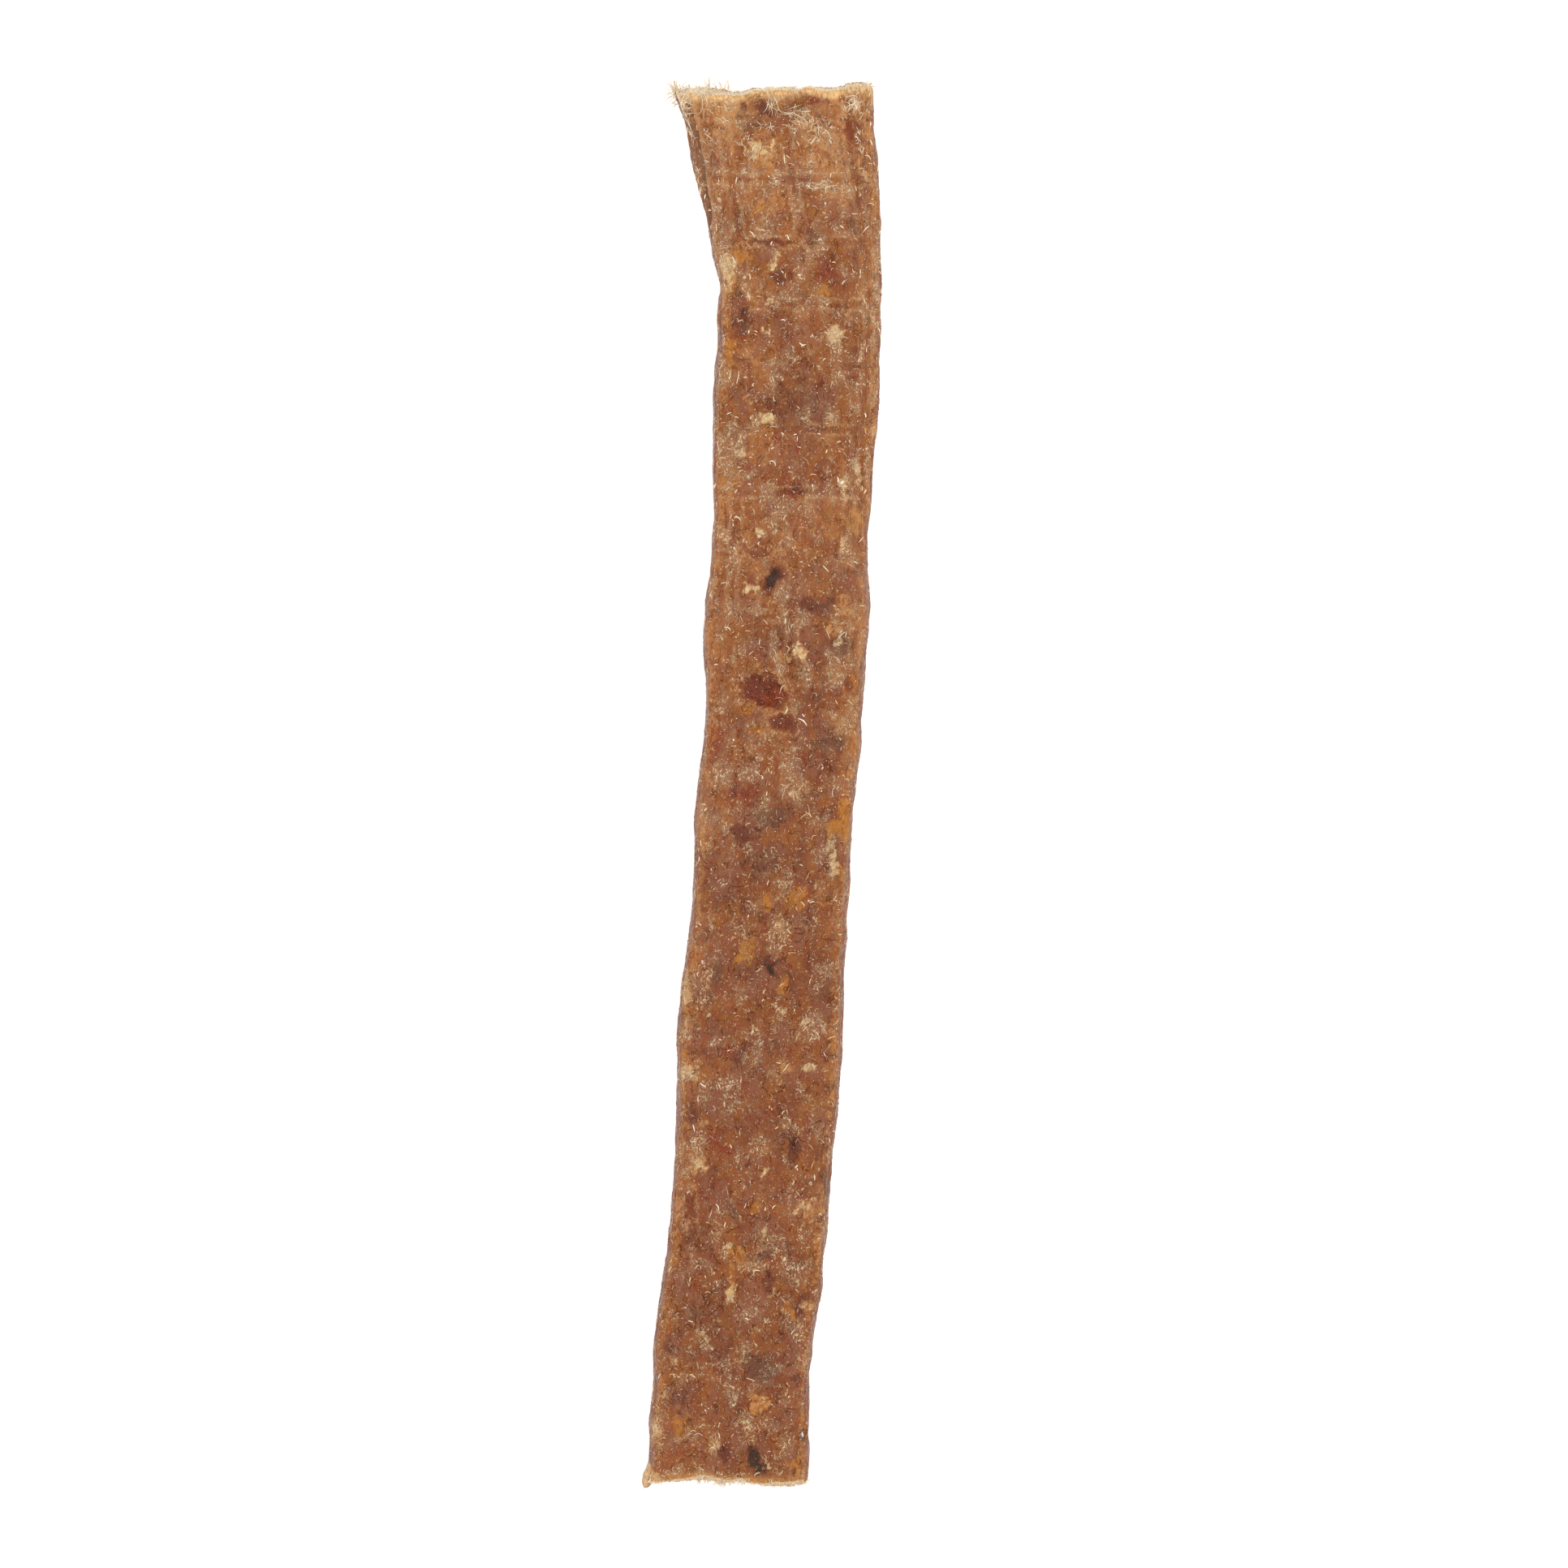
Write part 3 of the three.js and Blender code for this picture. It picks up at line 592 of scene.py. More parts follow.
class Finish:
    """A material under construction: adds nodes that read the piece's own place, in millimetres."""

    def __init__(self, name):
        self.material = bpy.data.materials.new(name)
        self.material.use_nodes = True
        self.tree = self.material.node_tree
        place = self.add("ShaderNodeTexCoord", {}, "Object")
        self.place = self.add("ShaderNodeVectorMath", {0: place, "Scale": 1 / MM}, operation="SCALE")

    def connect(self, node, inputs):
        """Sets a node's inputs, each to a value or to the output of another node."""
        for key, value in inputs.items():
            if isinstance(value, bpy.types.NodeSocket):
                self.tree.links.new(value, node.inputs[key])
            else:
                node.inputs[key].default_value = value

    def add(self, kind, inputs, output=0, **settings):
        made = self.tree.nodes.new(kind)
        for name, value in settings.items():
            setattr(made, name, value)
        self.connect(made, inputs)
        return made.outputs[output]

    def shaded(self, inputs):
        self.connect(self.tree.nodes["Principled BSDF"], inputs)
        return self.material

    def kept(self, name):
        """The value that mark() keeps by that name."""
        return self.add("ShaderNodeAttribute", {}, "Fac", attribute_name=name)

    def grain(self, size, detail=3.0, rough=0.55, swirl=0.0, seed=0.0, of=None):
        """Random light and dark, with spots of that size in millimetres across, along and up."""
        shift = (seed, seed * 1.7, seed * 0.6)
        scale = tuple(1 / s for s in size)
        inputs = {0: of or self.place, "Location": shift, "Scale": scale}
        at = self.add("ShaderNodeMapping", inputs, vector_type="POINT")
        inputs = {"Vector": at, "Scale": 1.0, "Detail": detail, "Roughness": rough, "Distortion": swirl}
        return self.add("ShaderNodeTexNoise", inputs, "Fac")

    def step(self, value, low, high, to_low=0.0, to_high=1.0):
        """Goes smoothly from to_low to to_high as a value goes from low to high."""
        inputs = {0: value, 1: low, 2: high, 3: to_low, 4: to_high}
        return self.add("ShaderNodeMapRange", inputs, interpolation_type="SMOOTHSTEP")

    def combine(self, operation, *parts):
        """Works several numbers into one, a pair at a time."""
        result = parts[0]
        for part in parts[1:]:
            result = self.add("ShaderNodeMath", {0: result, 1: part}, operation=operation)
        return result

    def sum(self, *parts):
        return self.combine("ADD", *parts)

    def times(self, *parts):
        return self.combine("MULTIPLY", *parts)

    def weighted(self, *parts):
        """The sum of some values, each times its weight."""
        return self.sum(*(self.times(value, weight) for value, weight in parts))

    def band(self, value, none, full, still_full, gone):
        """0 up to none, 1 from full to still_full, and 0 again from gone on."""
        return self.times(self.step(value, none, full), self.step(value, still_full, gone, 1.0, 0.0))

    def lines(self, field, width):
        """Thin curving lines where a random field crosses its middle value."""
        away = self.add("ShaderNodeMath", {0: self.sum(field, -0.5)}, operation="ABSOLUTE")
        return self.step(away, 0.0, width, 1.0, 0.0)

    def over(self, under, colour, *shares):
        """Lays a colour over another, by the product of some shares from 0 to 1."""
        under, colour = ((*c, 1.0) if isinstance(c, tuple) else c for c in (under, colour))
        inputs = {0: self.times(*shares), 6: under, 7: colour}
        return self.add("ShaderNodeMix", inputs, 2, data_type="RGBA")

    def ramp(self, value, stops):
        made = self.add("ShaderNodeValToRGB", {0: value})
        elements = made.node.color_ramp.elements
        while len(elements) < len(stops):
            elements.new(0.5)
        for element, (where, colour) in zip(elements, stops):
            element.position = where
            element.color = (*colour, 1.0)
        return made


def meat_finish():
    f = Finish("dried_meat")

    def by_end(until, plain, pale):
        """A share that goes from plain at the strip's plain end to pale where it is as pale as until."""
        return f.step(f.kept("pale_end"), 0.0, until, plain, pale)

    # The hair-fine fibres run roughly along the strip, bent by a slow swirl.
    inputs = {"Vector": f.place, "Scale": 0.3, "Detail": 2.0, "Roughness": 0.5}
    swirl = f.add("ShaderNodeTexNoise", inputs, "Color")
    swirl = f.add("ShaderNodeVectorMath", {0: swirl, 1: (0.5, 0.5, 0.5)}, operation="SUBTRACT")
    swirl = f.add("ShaderNodeVectorMath", {0: swirl, "Scale": 6.0}, operation="SCALE")
    swirled = f.add("ShaderNodeVectorMath", {0: f.place, 1: swirl}, operation="ADD")

    # The meat itself: how light it is, from broad patches down to its finest grain, with painted shade in
    # the hollows and the tray's wire troughs.
    middling = f.grain((1.4, 2.2, 1.4), swirl=0.8, seed=11)
    fine = f.grain((0.30, 0.6, 0.30), detail=2, rough=0.6, swirl=0.3, seed=23)
    tone = f.weighted(
        (f.grain((14.0, 20.0, 14.0), detail=1, seed=113), 0.80),
        (f.grain((6.0, 8.0, 6.0), detail=2, seed=3), 1.50),
        (middling, 0.54), (fine, 0.62), (f.kept("hollow_shade"), -0.45),
        (f.kept("pale_end"), 0.37), (f.kept("middle"), -0.18), (f.kept("trough"), -0.07),
    )
    colour = f.ramp(f.sum(tone, -1.06), DRY_MEAT)

    # Patches of it are golden, ruddy or dusky, and broader ones have a mauve or rusty cast.
    for tint, size, seed, low, high, share in (
        (GOLD, (2.2, 3.2, 2.2), 31, 0.46, 0.70, 0.62),
        (BIT_COLOURS["red"], (1.8, 3.0, 1.8), 47, 0.46, 0.70, 0.75),
        (BIT_COLOURS["plum"], (1.7, 2.3, 1.7), 59, 0.48, 0.72, by_end(0.6, 0.80, 0.45)),
    ):
        patches = f.grain(size, rough=0.5, swirl=0.8, seed=seed)
        colour = f.over(colour, tint, f.step(patches, low, high), share)
    colour = f.over(colour, PLAIN_MEAT, by_end(0.6, 0.34, 0.06))
    cast = f.grain((3.2, 4.4, 3.2), detail=2, rough=0.5, seed=127, swirl=0.6)
    colour = f.over(colour, MAUVE_MEAT, f.step(cast, 0.50, 0.62), 0.55)
    colour = f.over(colour, RUSTY_MEAT, f.step(cast, 0.38, 0.50, 1.0, 0.0), 0.50)
    colour = f.over(colour, DARK_MEAT, f.kept("middle"), 0.11)

    # The bits have ragged outlines, and the liver a thin pale rim.
    ragged = f.grain((0.9, 1.2, 0.9), detail=4, rough=0.65, swirl=1.0, seed=71)
    crumbled = f.grain((0.35, 0.6, 0.35), rough=0.6, swirl=1.0, seed=83)
    soft_edge = f.times(f.sum(ragged, -0.5), 1.6)
    crisp_edge = f.times(f.sum(f.weighted((ragged, 0.4), (crumbled, 0.6)), -0.5), 2.0)
    edges = {"cream": crisp_edge, "dark": f.times(crisp_edge, 0.5), "liver": f.times(soft_edge, 0.5)}
    mottled = f.step(f.weighted((crumbled, 0.5), (ragged, 0.5)), 0.40, 0.60, 0.45, 1.0)
    more_shares = {
        "cream": [mottled, by_end(0.8, 0.74, 1.0)],
        "fat": [mottled, by_end(0.8, 0.74, 1.0)],
        "slate": [by_end(0.6, 1.15, 1.0)],
        "amber": [f.step(ragged, 0.40, 0.55, 0.70, 1.0)],
    }
    liver_rim = f.band(f.sum(f.kept("liver"), edges["liver"]), 0.10, 0.22, 0.24, 0.40)
    near_liver = f.step(f.kept("liver"), 0.02, 0.1)
    colour = f.over(colour, HAIR, liver_rim, near_liver, f.step(crumbled, 0.40, 0.58), 0.7)
    for kind, bit_colour in BIT_COLOURS.items():
        there = f.step(f.sum(f.kept(kind), edges.get(kind, soft_edge)), 0.25, 0.75)
        shares = [there, f.step(f.kept(kind), 0.05, 0.3), BIT_SHARES[kind], *more_shares.get(kind, [])]
        colour = f.over(colour, bit_colour, *shares)

    # Streaks along the flanks and the bevel; painted shade on the steep flanks, the ledge and the crease.
    streak = f.step(f.grain((0.35, 4.5, 0.6), rough=0.6, seed=41), 0.40, 0.58, 1.0, 0.0)
    colour = f.over(colour, DARK_MEAT, f.kept("streaked"), streak, 0.65)
    # Painted shade: the steep flanks darkened, less where a cream bit reaches over them.
    colour = f.over(colour, DARK_MEAT, f.kept("steep_shade"), f.step(f.kept("cream"), 0.1, 0.5, 0.5, 0.0))
    layer = f.grain((0.5, 5.0, 0.5), rough=0.6, seed=43)
    # The ledge of the lower layer, streaked, in a brown that is partly its own and partly painted shade.
    colour = f.over(colour, LEDGE_MEAT_AND_SHADE, f.kept("ledge"), f.step(layer, 0.35, 0.65, 1.0, 0.55))
    # Painted shade in the crease between the ledge and the lip.
    colour = f.over(colour, DARKEST_MEAT, f.kept("crease"), 0.6)
    colour = f.over(colour, HAIR, f.kept("lip"), f.step(layer, 0.4, 0.6, 0.35, 0.85))

    # The upper edges along both sides are a lighter, more golden brown.
    colour = f.over(colour, EDGE_MEAT, f.kept("edge"), f.step(ragged, 0.46, 0.58, 0.05, 0.85))

    # Thin dark gaps between the pressed crumbs of mince, broken up, and darkest towards the plain end:
    # painted shade in the gaps.
    crumb = f.grain((2.2, 3.2, 2.2), detail=2, rough=0.5, swirl=1.0, seed=139)
    gap = f.times(f.lines(crumb, 0.020), f.step(f.grain((1.5, 1.5, 1.5), detail=1, seed=149), 0.46, 0.60))
    colour = f.over(colour, DARKEST_MEAT, gap, by_end(0.6, 0.70, 0.35))

    # Dry fuzz: short pale hairs, dense in patches and thin on the glossy bits, with painted glints, tiny
    # near-white highlights, among them.
    dense = f.step(f.kept("fuzzy"), 0.42, 0.85)
    kinds_of_hair = []
    for size, curl, seed, broken_size, broken_seed in (
        ((0.50, 1.3, 0.50), 0.6, 5, (0.45, 0.7, 0.45), 19),
        ((0.62, 0.7, 0.62), 1.3, 15, (0.40, 0.5, 0.40), 29),
    ):
        whole = f.lines(f.grain(size, detail=1, swirl=curl, seed=seed, of=swirled), 0.050)
        broken = f.grain(broken_size, detail=2, seed=broken_seed)
        kinds_of_hair.append(f.times(whole, f.step(f.sum(broken, f.times(dense, 0.12)), 0.56, 0.60)))
    hair = f.combine("MAXIMUM", *kinds_of_hair)
    inputs = {"Vector": swirled, "Scale": 1.35, "Randomness": 1.0}
    painted_glints = f.step(f.add("ShaderNodeTexVoronoi", inputs, "Distance", feature="F1"), 0.08, 0.16, 1.0, 0.0)
    smoothness = {"dark": 1.0, "liver": 1.0, "slate": 0.5, "plum": 0.5, "amber": 0.8}
    smooth_bits = f.weighted(*((f.kept(kind), weight) for kind, weight in smoothness.items()))
    haired = f.step(smooth_bits, 0.1, 0.7, 1.0, 0.25)
    colour = f.over(colour, FUZZ, dense, haired, by_end(0.6, 0.12, 0.32))
    colour = f.over(colour, PALE_HAIR, hair, haired, f.step(dense, 0.0, 1.0, 0.36, 0.78))
    # Painted glints: near-white specks that stand in for highlights, more of them towards the pale end.
    colour = f.over(colour, GLINT, painted_glints, f.step(ragged, 0.42, 0.50), by_end(0.8, 0.60, 0.95))
    colour = f.over(colour, DUSK, f.kept("slate"), 0.22)

    # Painted shade in thin dark creases where the tray's wires pressed deepest, with a pale line beside
    # each.
    turns = [f.combine("PINGPONG", f.kept(name), 0.5) for name in ("wires_across", "wires_along")]
    from_nearest = f.times(f.combine("MINIMUM", *turns), WIRE_PITCH)
    here = f.times(f.kept("crisp"), f.step(f.grain((1.6, 1.6, 1.6), detail=2, seed=97), 0.47, 0.60))
    colour = f.over(colour, DARK_MEAT, here, f.step(from_nearest, 0.04, 0.20, 0.32, 0.0))
    beside = f.band(from_nearest, 0.22, 0.36, 0.40, 0.62)
    colour = f.over(colour, HAIR, here, beside, f.step(crumbled, 0.42, 0.58), 0.55)

    # Pale dry edges: the pads' rims, the cut ends and a warmer rim round them on the upper face.
    colour = f.over(colour, HAIR, f.kept("pad_rim"), f.step(crumbled, 0.40, 0.60), 0.6)
    torn = f.grain((0.35, 0.9, 0.35), rough=0.6, seed=101)
    end_rim = f.over(NEAR_RIM, FAR_RIM, f.kept("far_half"))
    cut_face = f.over(NEAR_CUT_FACE, FAR_CUT_FACE, f.kept("far_half"))
    colour = f.over(colour, end_rim, f.kept("end_rim"), f.step(torn, 0.3, 0.6, 0.30, 0.95))
    colour = f.over(colour, cut_face, f.kept("cut"), f.step(torn, 0.3, 0.6, 0.45, 1.0))

    # The fuzz and the cuts are dull, and the liver and the dark bits glossy.
    glossy = f.sum(f.kept("liver"), f.times(f.kept("red"), 0.5), f.kept("dark"))
    roughness = f.sum(
        f.step(f.kept("fuzzy"), 0.3, 0.8, 0.28, 0.50),
        f.times(hair, 0.15),
        f.times(glossy, -0.12),
        f.times(f.sum(f.kept("cut"), f.kept("end_rim")), 0.2),
    )
    height = f.weighted((middling, 0.8), (fine, 0.6), (crumbled, 0.5), (hair, 0.2), (gap, -0.4))
    bumpy = f.add("ShaderNodeBump", {"Strength": 1.0, "Distance": BUMP_HEIGHT, "Height": height})
    looks = {"Base Color": colour, "Roughness": roughness, "Normal": bumpy, "Coat Normal": bumpy}
    return f.shaded({**looks, **MEAT_SHADER})


strip.data.materials.clear()
strip.data.materials.append(meat_finish())
pick_only(strip)
bpy.ops.object.shade_smooth()
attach(strip, "root")
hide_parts("meat_strip")

# The surface fibres
# Dried muscle fibres, thinner than a hair, that have come loose from the mince and lie on its faces.
# They are the meat's own, still stuck to it along most of their length. Their lengths follow a lognormal
# curve, up to the longest, and the tones a beta curve, where 1 is the palest.
FIBRE_COUNT = 9800
FIBRE_LENGTHS, LONGEST_FIBRE = (-0.95, 0.5), 2.0
FIBRE_RADII = (0.03, 0.06)
FIBRE_STRAY, FIBRE_CURL = 0.8, 1.3
FIBRE_TONES = (1.9, 1.7)
FIBRE_COLOURS = [(0.0, (0.42, 0.175, 0.055)), (0.5, (0.67, 0.405, 0.195)), (1.0, (1.0, 0.91, 0.71))]
SIDES = 3
NEARLY_UP = Vector((0.05, 0.03, 1.0))
corners = [v.co for v in strip.data.vertices]
surface = BVHTree.FromPolygons(corners, [tuple(p.vertices) for p in strip.data.polygons])


class Hairs:
    """Many fine hairs as one mesh: each is a three-sided strand that comes to a point at both ends."""

    def __init__(self):
        self.points = []
        self.faces = []
        self.tones = []

    def add(self, path, half_width, tone, half_thickness=None):
        first = len(self.points)
        rings = len(path) - 2
        self.points.append(path[0])
        for ring, (before, middle, after) in enumerate(zip(path, path[1:], path[2:])):
            way = (after - before).normalized()
            side = way.cross(NEARLY_UP).normalized()
            rise = side.cross(way)
            swell = math.sin(math.pi * (ring + 1) / (rings + 1)) ** 0.5
            for k in range(SIDES):
                turn = math.tau * (k + 0.75) / SIDES
                across = side * math.cos(turn) * half_width
                up = rise * math.sin(turn) * (half_thickness or half_width)
                self.points.append(middle + (across + up) * swell)
        self.points.append(path[-1])
        last = len(self.points) - 1
        for k in range(SIDES):
            after = (k + 1) % SIDES
            self.faces.append((first, first + 1 + after, first + 1 + k))
            for r in range(rings - 1):
                low = first + 1 + SIDES * r
                high = low + SIDES
                self.faces.append((low + k, low + after, high + after, high + k))
            end = first + 1 + SIDES * (rings - 1)
            self.faces.append((end + k, end + after, last))
        self.tones += [tone] * (last - first + 1)

    def piece(self, name, material):
        mesh = bpy.data.meshes.new(name)
        mesh.from_pydata(self.points, [], self.faces)
        mesh.materials.append(material)
        made = add_object(name, mesh)
        mark(made, "tone", self.tones)
        pick_only(made)
        bpy.ops.object.mode_set(mode="EDIT")
        bpy.ops.mesh.select_all(action="SELECT")
        bpy.ops.mesh.normals_make_consistent(inside=False)
        bpy.ops.object.mode_set(mode="OBJECT")
        bpy.ops.object.shade_smooth()
        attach(made, "root")


def flat_heading(angle, rise=0.02):
    """The direction that is turned clockwise from +Y by an angle, seen from above, and rises a little."""
    return Vector((math.sin(angle), math.cos(angle), rise))


def lying_path(middle, heading, length, steps, lift, turn, waves=0.0):
    """A path that creeps over the strip's surface, past middle, turning evenly or in waves as it goes."""
    path = []
    point = middle - heading * length / 2
    way = heading
    for _ in range(steps + 1):
        spot, normal, _, _ = surface.find_nearest(point)
        path.append(spot + normal * lift)
        way = (way - normal * way.dot(normal)).normalized()
        bend = turn / steps + draw.gauss(0, waves)
        way = (way + normal.cross(way) * bend).normalized()
        point = spot + way * (length / steps)
    return path


def darker_there(y):
    """How much darker the fibres are at a place along the strip: they have browned towards the plain end."""
    return 0.15 * (1 - float(ease(y / MM, -40, 75)))


def fibre_finish():
    f = Finish("dried_fibre")
    tone = f.sum(f.kept("tone"), f.times(f.sum(f.grain((0.6, 0.6, 0.6), detail=2), -0.5), 0.3))
    roughness = f.step(tone, 0, 1, 0.5, 0.65)
    return f.shaded({"Base Color": f.ramp(tone, FIBRE_COLOURS), "Roughness": roughness})


dried_fibre = fibre_finish()
faces = strip.data.polygons


def face_means(values):
    """The mean of the vertices' values, for each of the strip's faces."""
    return [float(np.mean([values[v] for v in p.vertices])) for p in faces]


# More of them lie on the fuzzy patches and the cream bits, and fewer on the glossy bits and underneath.
fuzz_of = face_means(fuzzy)
cream_of = face_means(shown["cream"])
seen = [0.3 if p.normal.z < -0.5 else 1.0 for p in faces]
less_bare = shown["amber"] + shown["slate"] + shown["plum"]
bare_of = face_means(shown["dark"] + shown["liver"] + 0.4 * shown["red"] + 0.6 * less_bare)
weights = [
    p.area * s * (0.30 + 0.5 * max(z - 0.25, 0) ** 1.2 + 0.25 * c) * max(1 - 0.85 * b, 0.1)
    for p, s, z, c, b in zip(faces, seen, fuzz_of, cream_of, bare_of)
]
draw = random.Random(7)
hairs = Hairs()
for face in draw.choices(faces, weights=weights, k=FIBRE_COUNT):
    heading = flat_heading(draw.gauss(0, FIBRE_STRAY))
    length = min(draw.lognormvariate(*FIBRE_LENGTHS), LONGEST_FIBRE) * MM
    radius = draw.uniform(*FIBRE_RADII) * MM
    path = lying_path(face.center, heading, length, 4, radius * 0.5, draw.gauss(0, FIBRE_CURL))
    tone = min(draw.betavariate(*FIBRE_TONES) + 0.3 * cream_of[face.index], 1.0)
    hairs.add(path, radius, tone - darker_there(face.center.y))
hairs.piece("surface_fibres", dried_fibre)

# The flakes
# Bits of sinew and skin, thin as paper, that lie flat in the surface and have dried nearly white.
FLAKE_COUNT = 800
FLAKE_LENGTHS, LONGEST_FLAKE = (-0.25, 0.4), 2.4
FLAKE_HALF_WIDTHS = (0.06, 0.16)
FLAKE_LIFT, FLAKE_HALF_THICKNESS = 0.01 * MM, 0.05 * MM
FLAKE_STRAY, FLAKE_CURL = 0.7, 1.2
FLAKE_TONES = (0.45, 1.0)
draw = random.Random(12)
flakes = Hairs()
for face in draw.choices(faces, weights=weights, k=FLAKE_COUNT):
    heading = flat_heading(draw.gauss(0, FLAKE_STRAY))
    length = min(draw.lognormvariate(*FLAKE_LENGTHS), LONGEST_FLAKE) * MM
    half_width = draw.uniform(*FLAKE_HALF_WIDTHS) * MM
    path = lying_path(face.center, heading, length, 6, FLAKE_LIFT, draw.gauss(0, FLAKE_CURL))
    tone = draw.uniform(*FLAKE_TONES) - darker_there(face.center.y)
    flakes.add(path, half_width, tone, FLAKE_HALF_THICKNESS)
flakes.piece("pale_flakes", dried_fibre)

# The wisps
# Longer wavy fibres, pulled loose by the knife and the tray's wires, that lie in groups on the surface.
# For each group: its middle, how far it spreads each way, its lean clockwise from the strip's length in
# degrees, how many fibres it has and how long the longest is.
WISPS = [
    (-11.4, 98.0, 1.4, 1.4, 45, 90, 2.4),
    (-8.6, 97.6, 1.6, 1.6, 10, 40, 2.4),
    (-5.4, 97.0, 1.6, 1.8, -20, 30, 2.2),
    (-13.0, 96.4, 0.4, 1.8, -15, 50, 2.8),
    (-12.4, 93.0, 0.35, 2.0, -14, 24, 2.4),
    (1.6, 97.6, 0.5, 1.4, 150, 26, 3.6),
    (4.6, 95.0, 1.6, 1.1, 125, 44, 3.8),
    (8.4, 93.2, 1.1, 1.6, 150, 34, 2.6),
    (0.6, 94.0, 2.4, 0.5, 95, 26, 1.8),
    (14.0, 97.2, 1.1, 1.5, 15, 70, 2.6),
    (11.6, 96.4, 0.7, 1.4, -25, 22, 1.8),
    (14.8, 92.4, 0.4, 2.4, 5, 22, 1.6),
    (6.8, 89.0, 0.5, 2.6, 5, 34, 1.6),
    (7.0, 85.2, 4.2, 0.35, 90, 60, 1.6),
    (-2.8, 88.5, 0.3, 3.6, 0, 18, 1.4),
    (-2.3, 92.2, 0.9, 0.9, 40, 16, 1.5),
    (-8.0, 91.0, 1.0, 3.0, -8, 26, 1.6),
    (9.6, 64.4, 1.0, 0.6, 60, 15, 1.0),
    (-5.6, 74.0, 0.5, 1.8, -8, 18, 2.2),
    (-7.2, 60.0, 0.3, 4.0, 0, 18, 1.6),
    (-6.9, 48.0, 0.3, 4.0, 0, 18, 1.4),
    (2.1, 14.9, 0.15, 2.0, -33, 16, 2.4),
    (3.0, 4.2, 3.2, 2.6, 80, 30, 1.2),
    (-4.2, 2.6, 2.0, 1.6, 60, 22, 1.0),
    (9.6, -10.8, 0.6, 2.4, 0, 24, 1.8),
    (1.4, -11.0, 2.6, 2.0, 70, 24, 1.2),
    (-11.2, -28.8, 0.4, 2.2, 5, 22, 1.8),
    (-9.6, -27.4, 0.7, 2.0, 15, 24, 1.4),
    (8.6, -36.0, 1.6, 3.2, 20, 26, 1.0),
    (-10.8, -41.5, 0.7, 0.7, 40, 18, 1.0),
    (-9.6, -52.0, 1.6, 1.6, 40, 30, 1.0),
    (-4.4, -73.6, 0.4, 1.2, 10, 15, 1.6),
    (-15.3, -92.2, 0.4, 1.6, 5, 24, 1.6),
    (-2.6, -91.0, 0.8, 1.3, -20, 24, 1.2),
    (0.4, -97.2, 0.3, 1.0, 15, 8, 1.0),
    (-14.0, -98.8, 1.2, 0.5, 80, 24, 1.2),
    (-5.0, -98.6, 2.6, 0.4, 10, 36, 1.0),
]
WISP_RADII = (0.035, 0.065)
WISP_STRAY, WISP_CURL, WISP_WAVES = 32, 0.9, 0.25
WISP_TONES = (0.35, 1.0)
ABOVE_STRIP = 6.0
draw = random.Random(21)
wisps = Hairs()
for x, y, spread_x, spread_y, lean, count, longest in WISPS:
    for _ in range(count):
        heading = flat_heading(math.radians(draw.gauss(lean, WISP_STRAY)))
        spot = Vector((draw.gauss(x, spread_x / 1.6), draw.gauss(y, spread_y / 1.6), ABOVE_STRIP)) * MM
        length = draw.uniform(0.3, 1.0) ** 1.5 * longest * MM
        radius = draw.uniform(*WISP_RADII) * MM
        path = lying_path(spot, heading, length, 7, radius, draw.gauss(0, WISP_CURL), WISP_WAVES)
        wisps.add(path, radius, draw.uniform(*WISP_TONES) - darker_there(spot.y))
wisps.piece("pale_wisps", dried_fibre)

# The fringe of the cut ends
# Where the strip was cut across, the torn ends of its fibres stand out as a pale fuzz with longer tufts.
# For each tuft: where it is, its heading clockwise from +Y in degrees, how far it fans out, how many
# fibres it has and how long the longest is.
TUFTS = [
    (-13.4, 97.2, -80, 25, 14, 1.4),
    (-13.3, 98.2, -70, 30, 18, 2.4),
    (-12.8, 99.2, -45, 30, 22, 3.0),
    (-12.0, 99.6, -15, 22, 20, 2.6),
    (-10.8, 99.6, -5, 30, 18, 1.0),
    (-9.0, 99.6, -8, 30, 14, 1.2),
    (-7.6, 99.6, 6, 10, 12, 3.2),
    (-6.4, 99.4, -18, 12, 7, 2.6),
    (-5.3, 99.2, 10, 14, 14, 2.8),
    (-3.4, 98.8, 10, 40, 30, 0.9),
    (1.0, 99.2, 0, 45, 36, 0.9),
    (4.5, 99.5, -10, 40, 40, 1.1),
    (8.6, 99.7, 0, 45, 36, 0.9),
    (12.4, 100.1, 10, 45, 44, 1.1),
    (15.4, 100.2, 40, 45, 44, 1.2),
    (-8.4, -99.7, 200, 30, 40, 1.2),
    (-5.6, -99.5, 180, 40, 70, 1.5),
    (-2.8, -99.2, 176, 35, 50, 1.2),
    (0.9, -99.3, 165, 35, 30, 1.0),
    (4.6, -99.9, 180, 40, 22, 0.7),
    (6.0, -100.1, 140, 40, 26, 0.9),
    (-15.7, -99.6, 230, 40, 22, 0.9),
]
TUFT_RADII, TUFT_WAVES = (0.035, 0.07), 0.2
TUFT_HEIGHTS = (1.5, 5.2)
TUFT_TONES = (0.6, 1.0)
# The short fuzz is denser in the cut's upper part, and darker in its lower part.
SHORT_FUZZ = 3400
FUZZ_LENGTHS, LONGEST_FUZZ = (-1.1, 0.4), 0.9
FUZZ_RADII, FUZZ_WAVES = (0.03, 0.06), 0.45
FUZZ_TONES = (0.88, 1.0)
ROOT_DEPTH = 0.1
CLEAR_OF_TABLE = 0.08 * MM


def standing_path(start, heading, length, steps, waves):
    """A path that stands out from the strip, bending at random, and stays above the table."""
    path = [start]
    way = heading.normalized()
    for _ in range(steps):
        bend = Vector((draw.gauss(0, waves), draw.gauss(0, waves), draw.gauss(0, waves) * 0.6))
        way = (way + bend).normalized()
        after = path[-1] + way * (length / steps)
        path.append(Vector((after.x, after.y, max(after.z, CLEAR_OF_TABLE))))
    return path


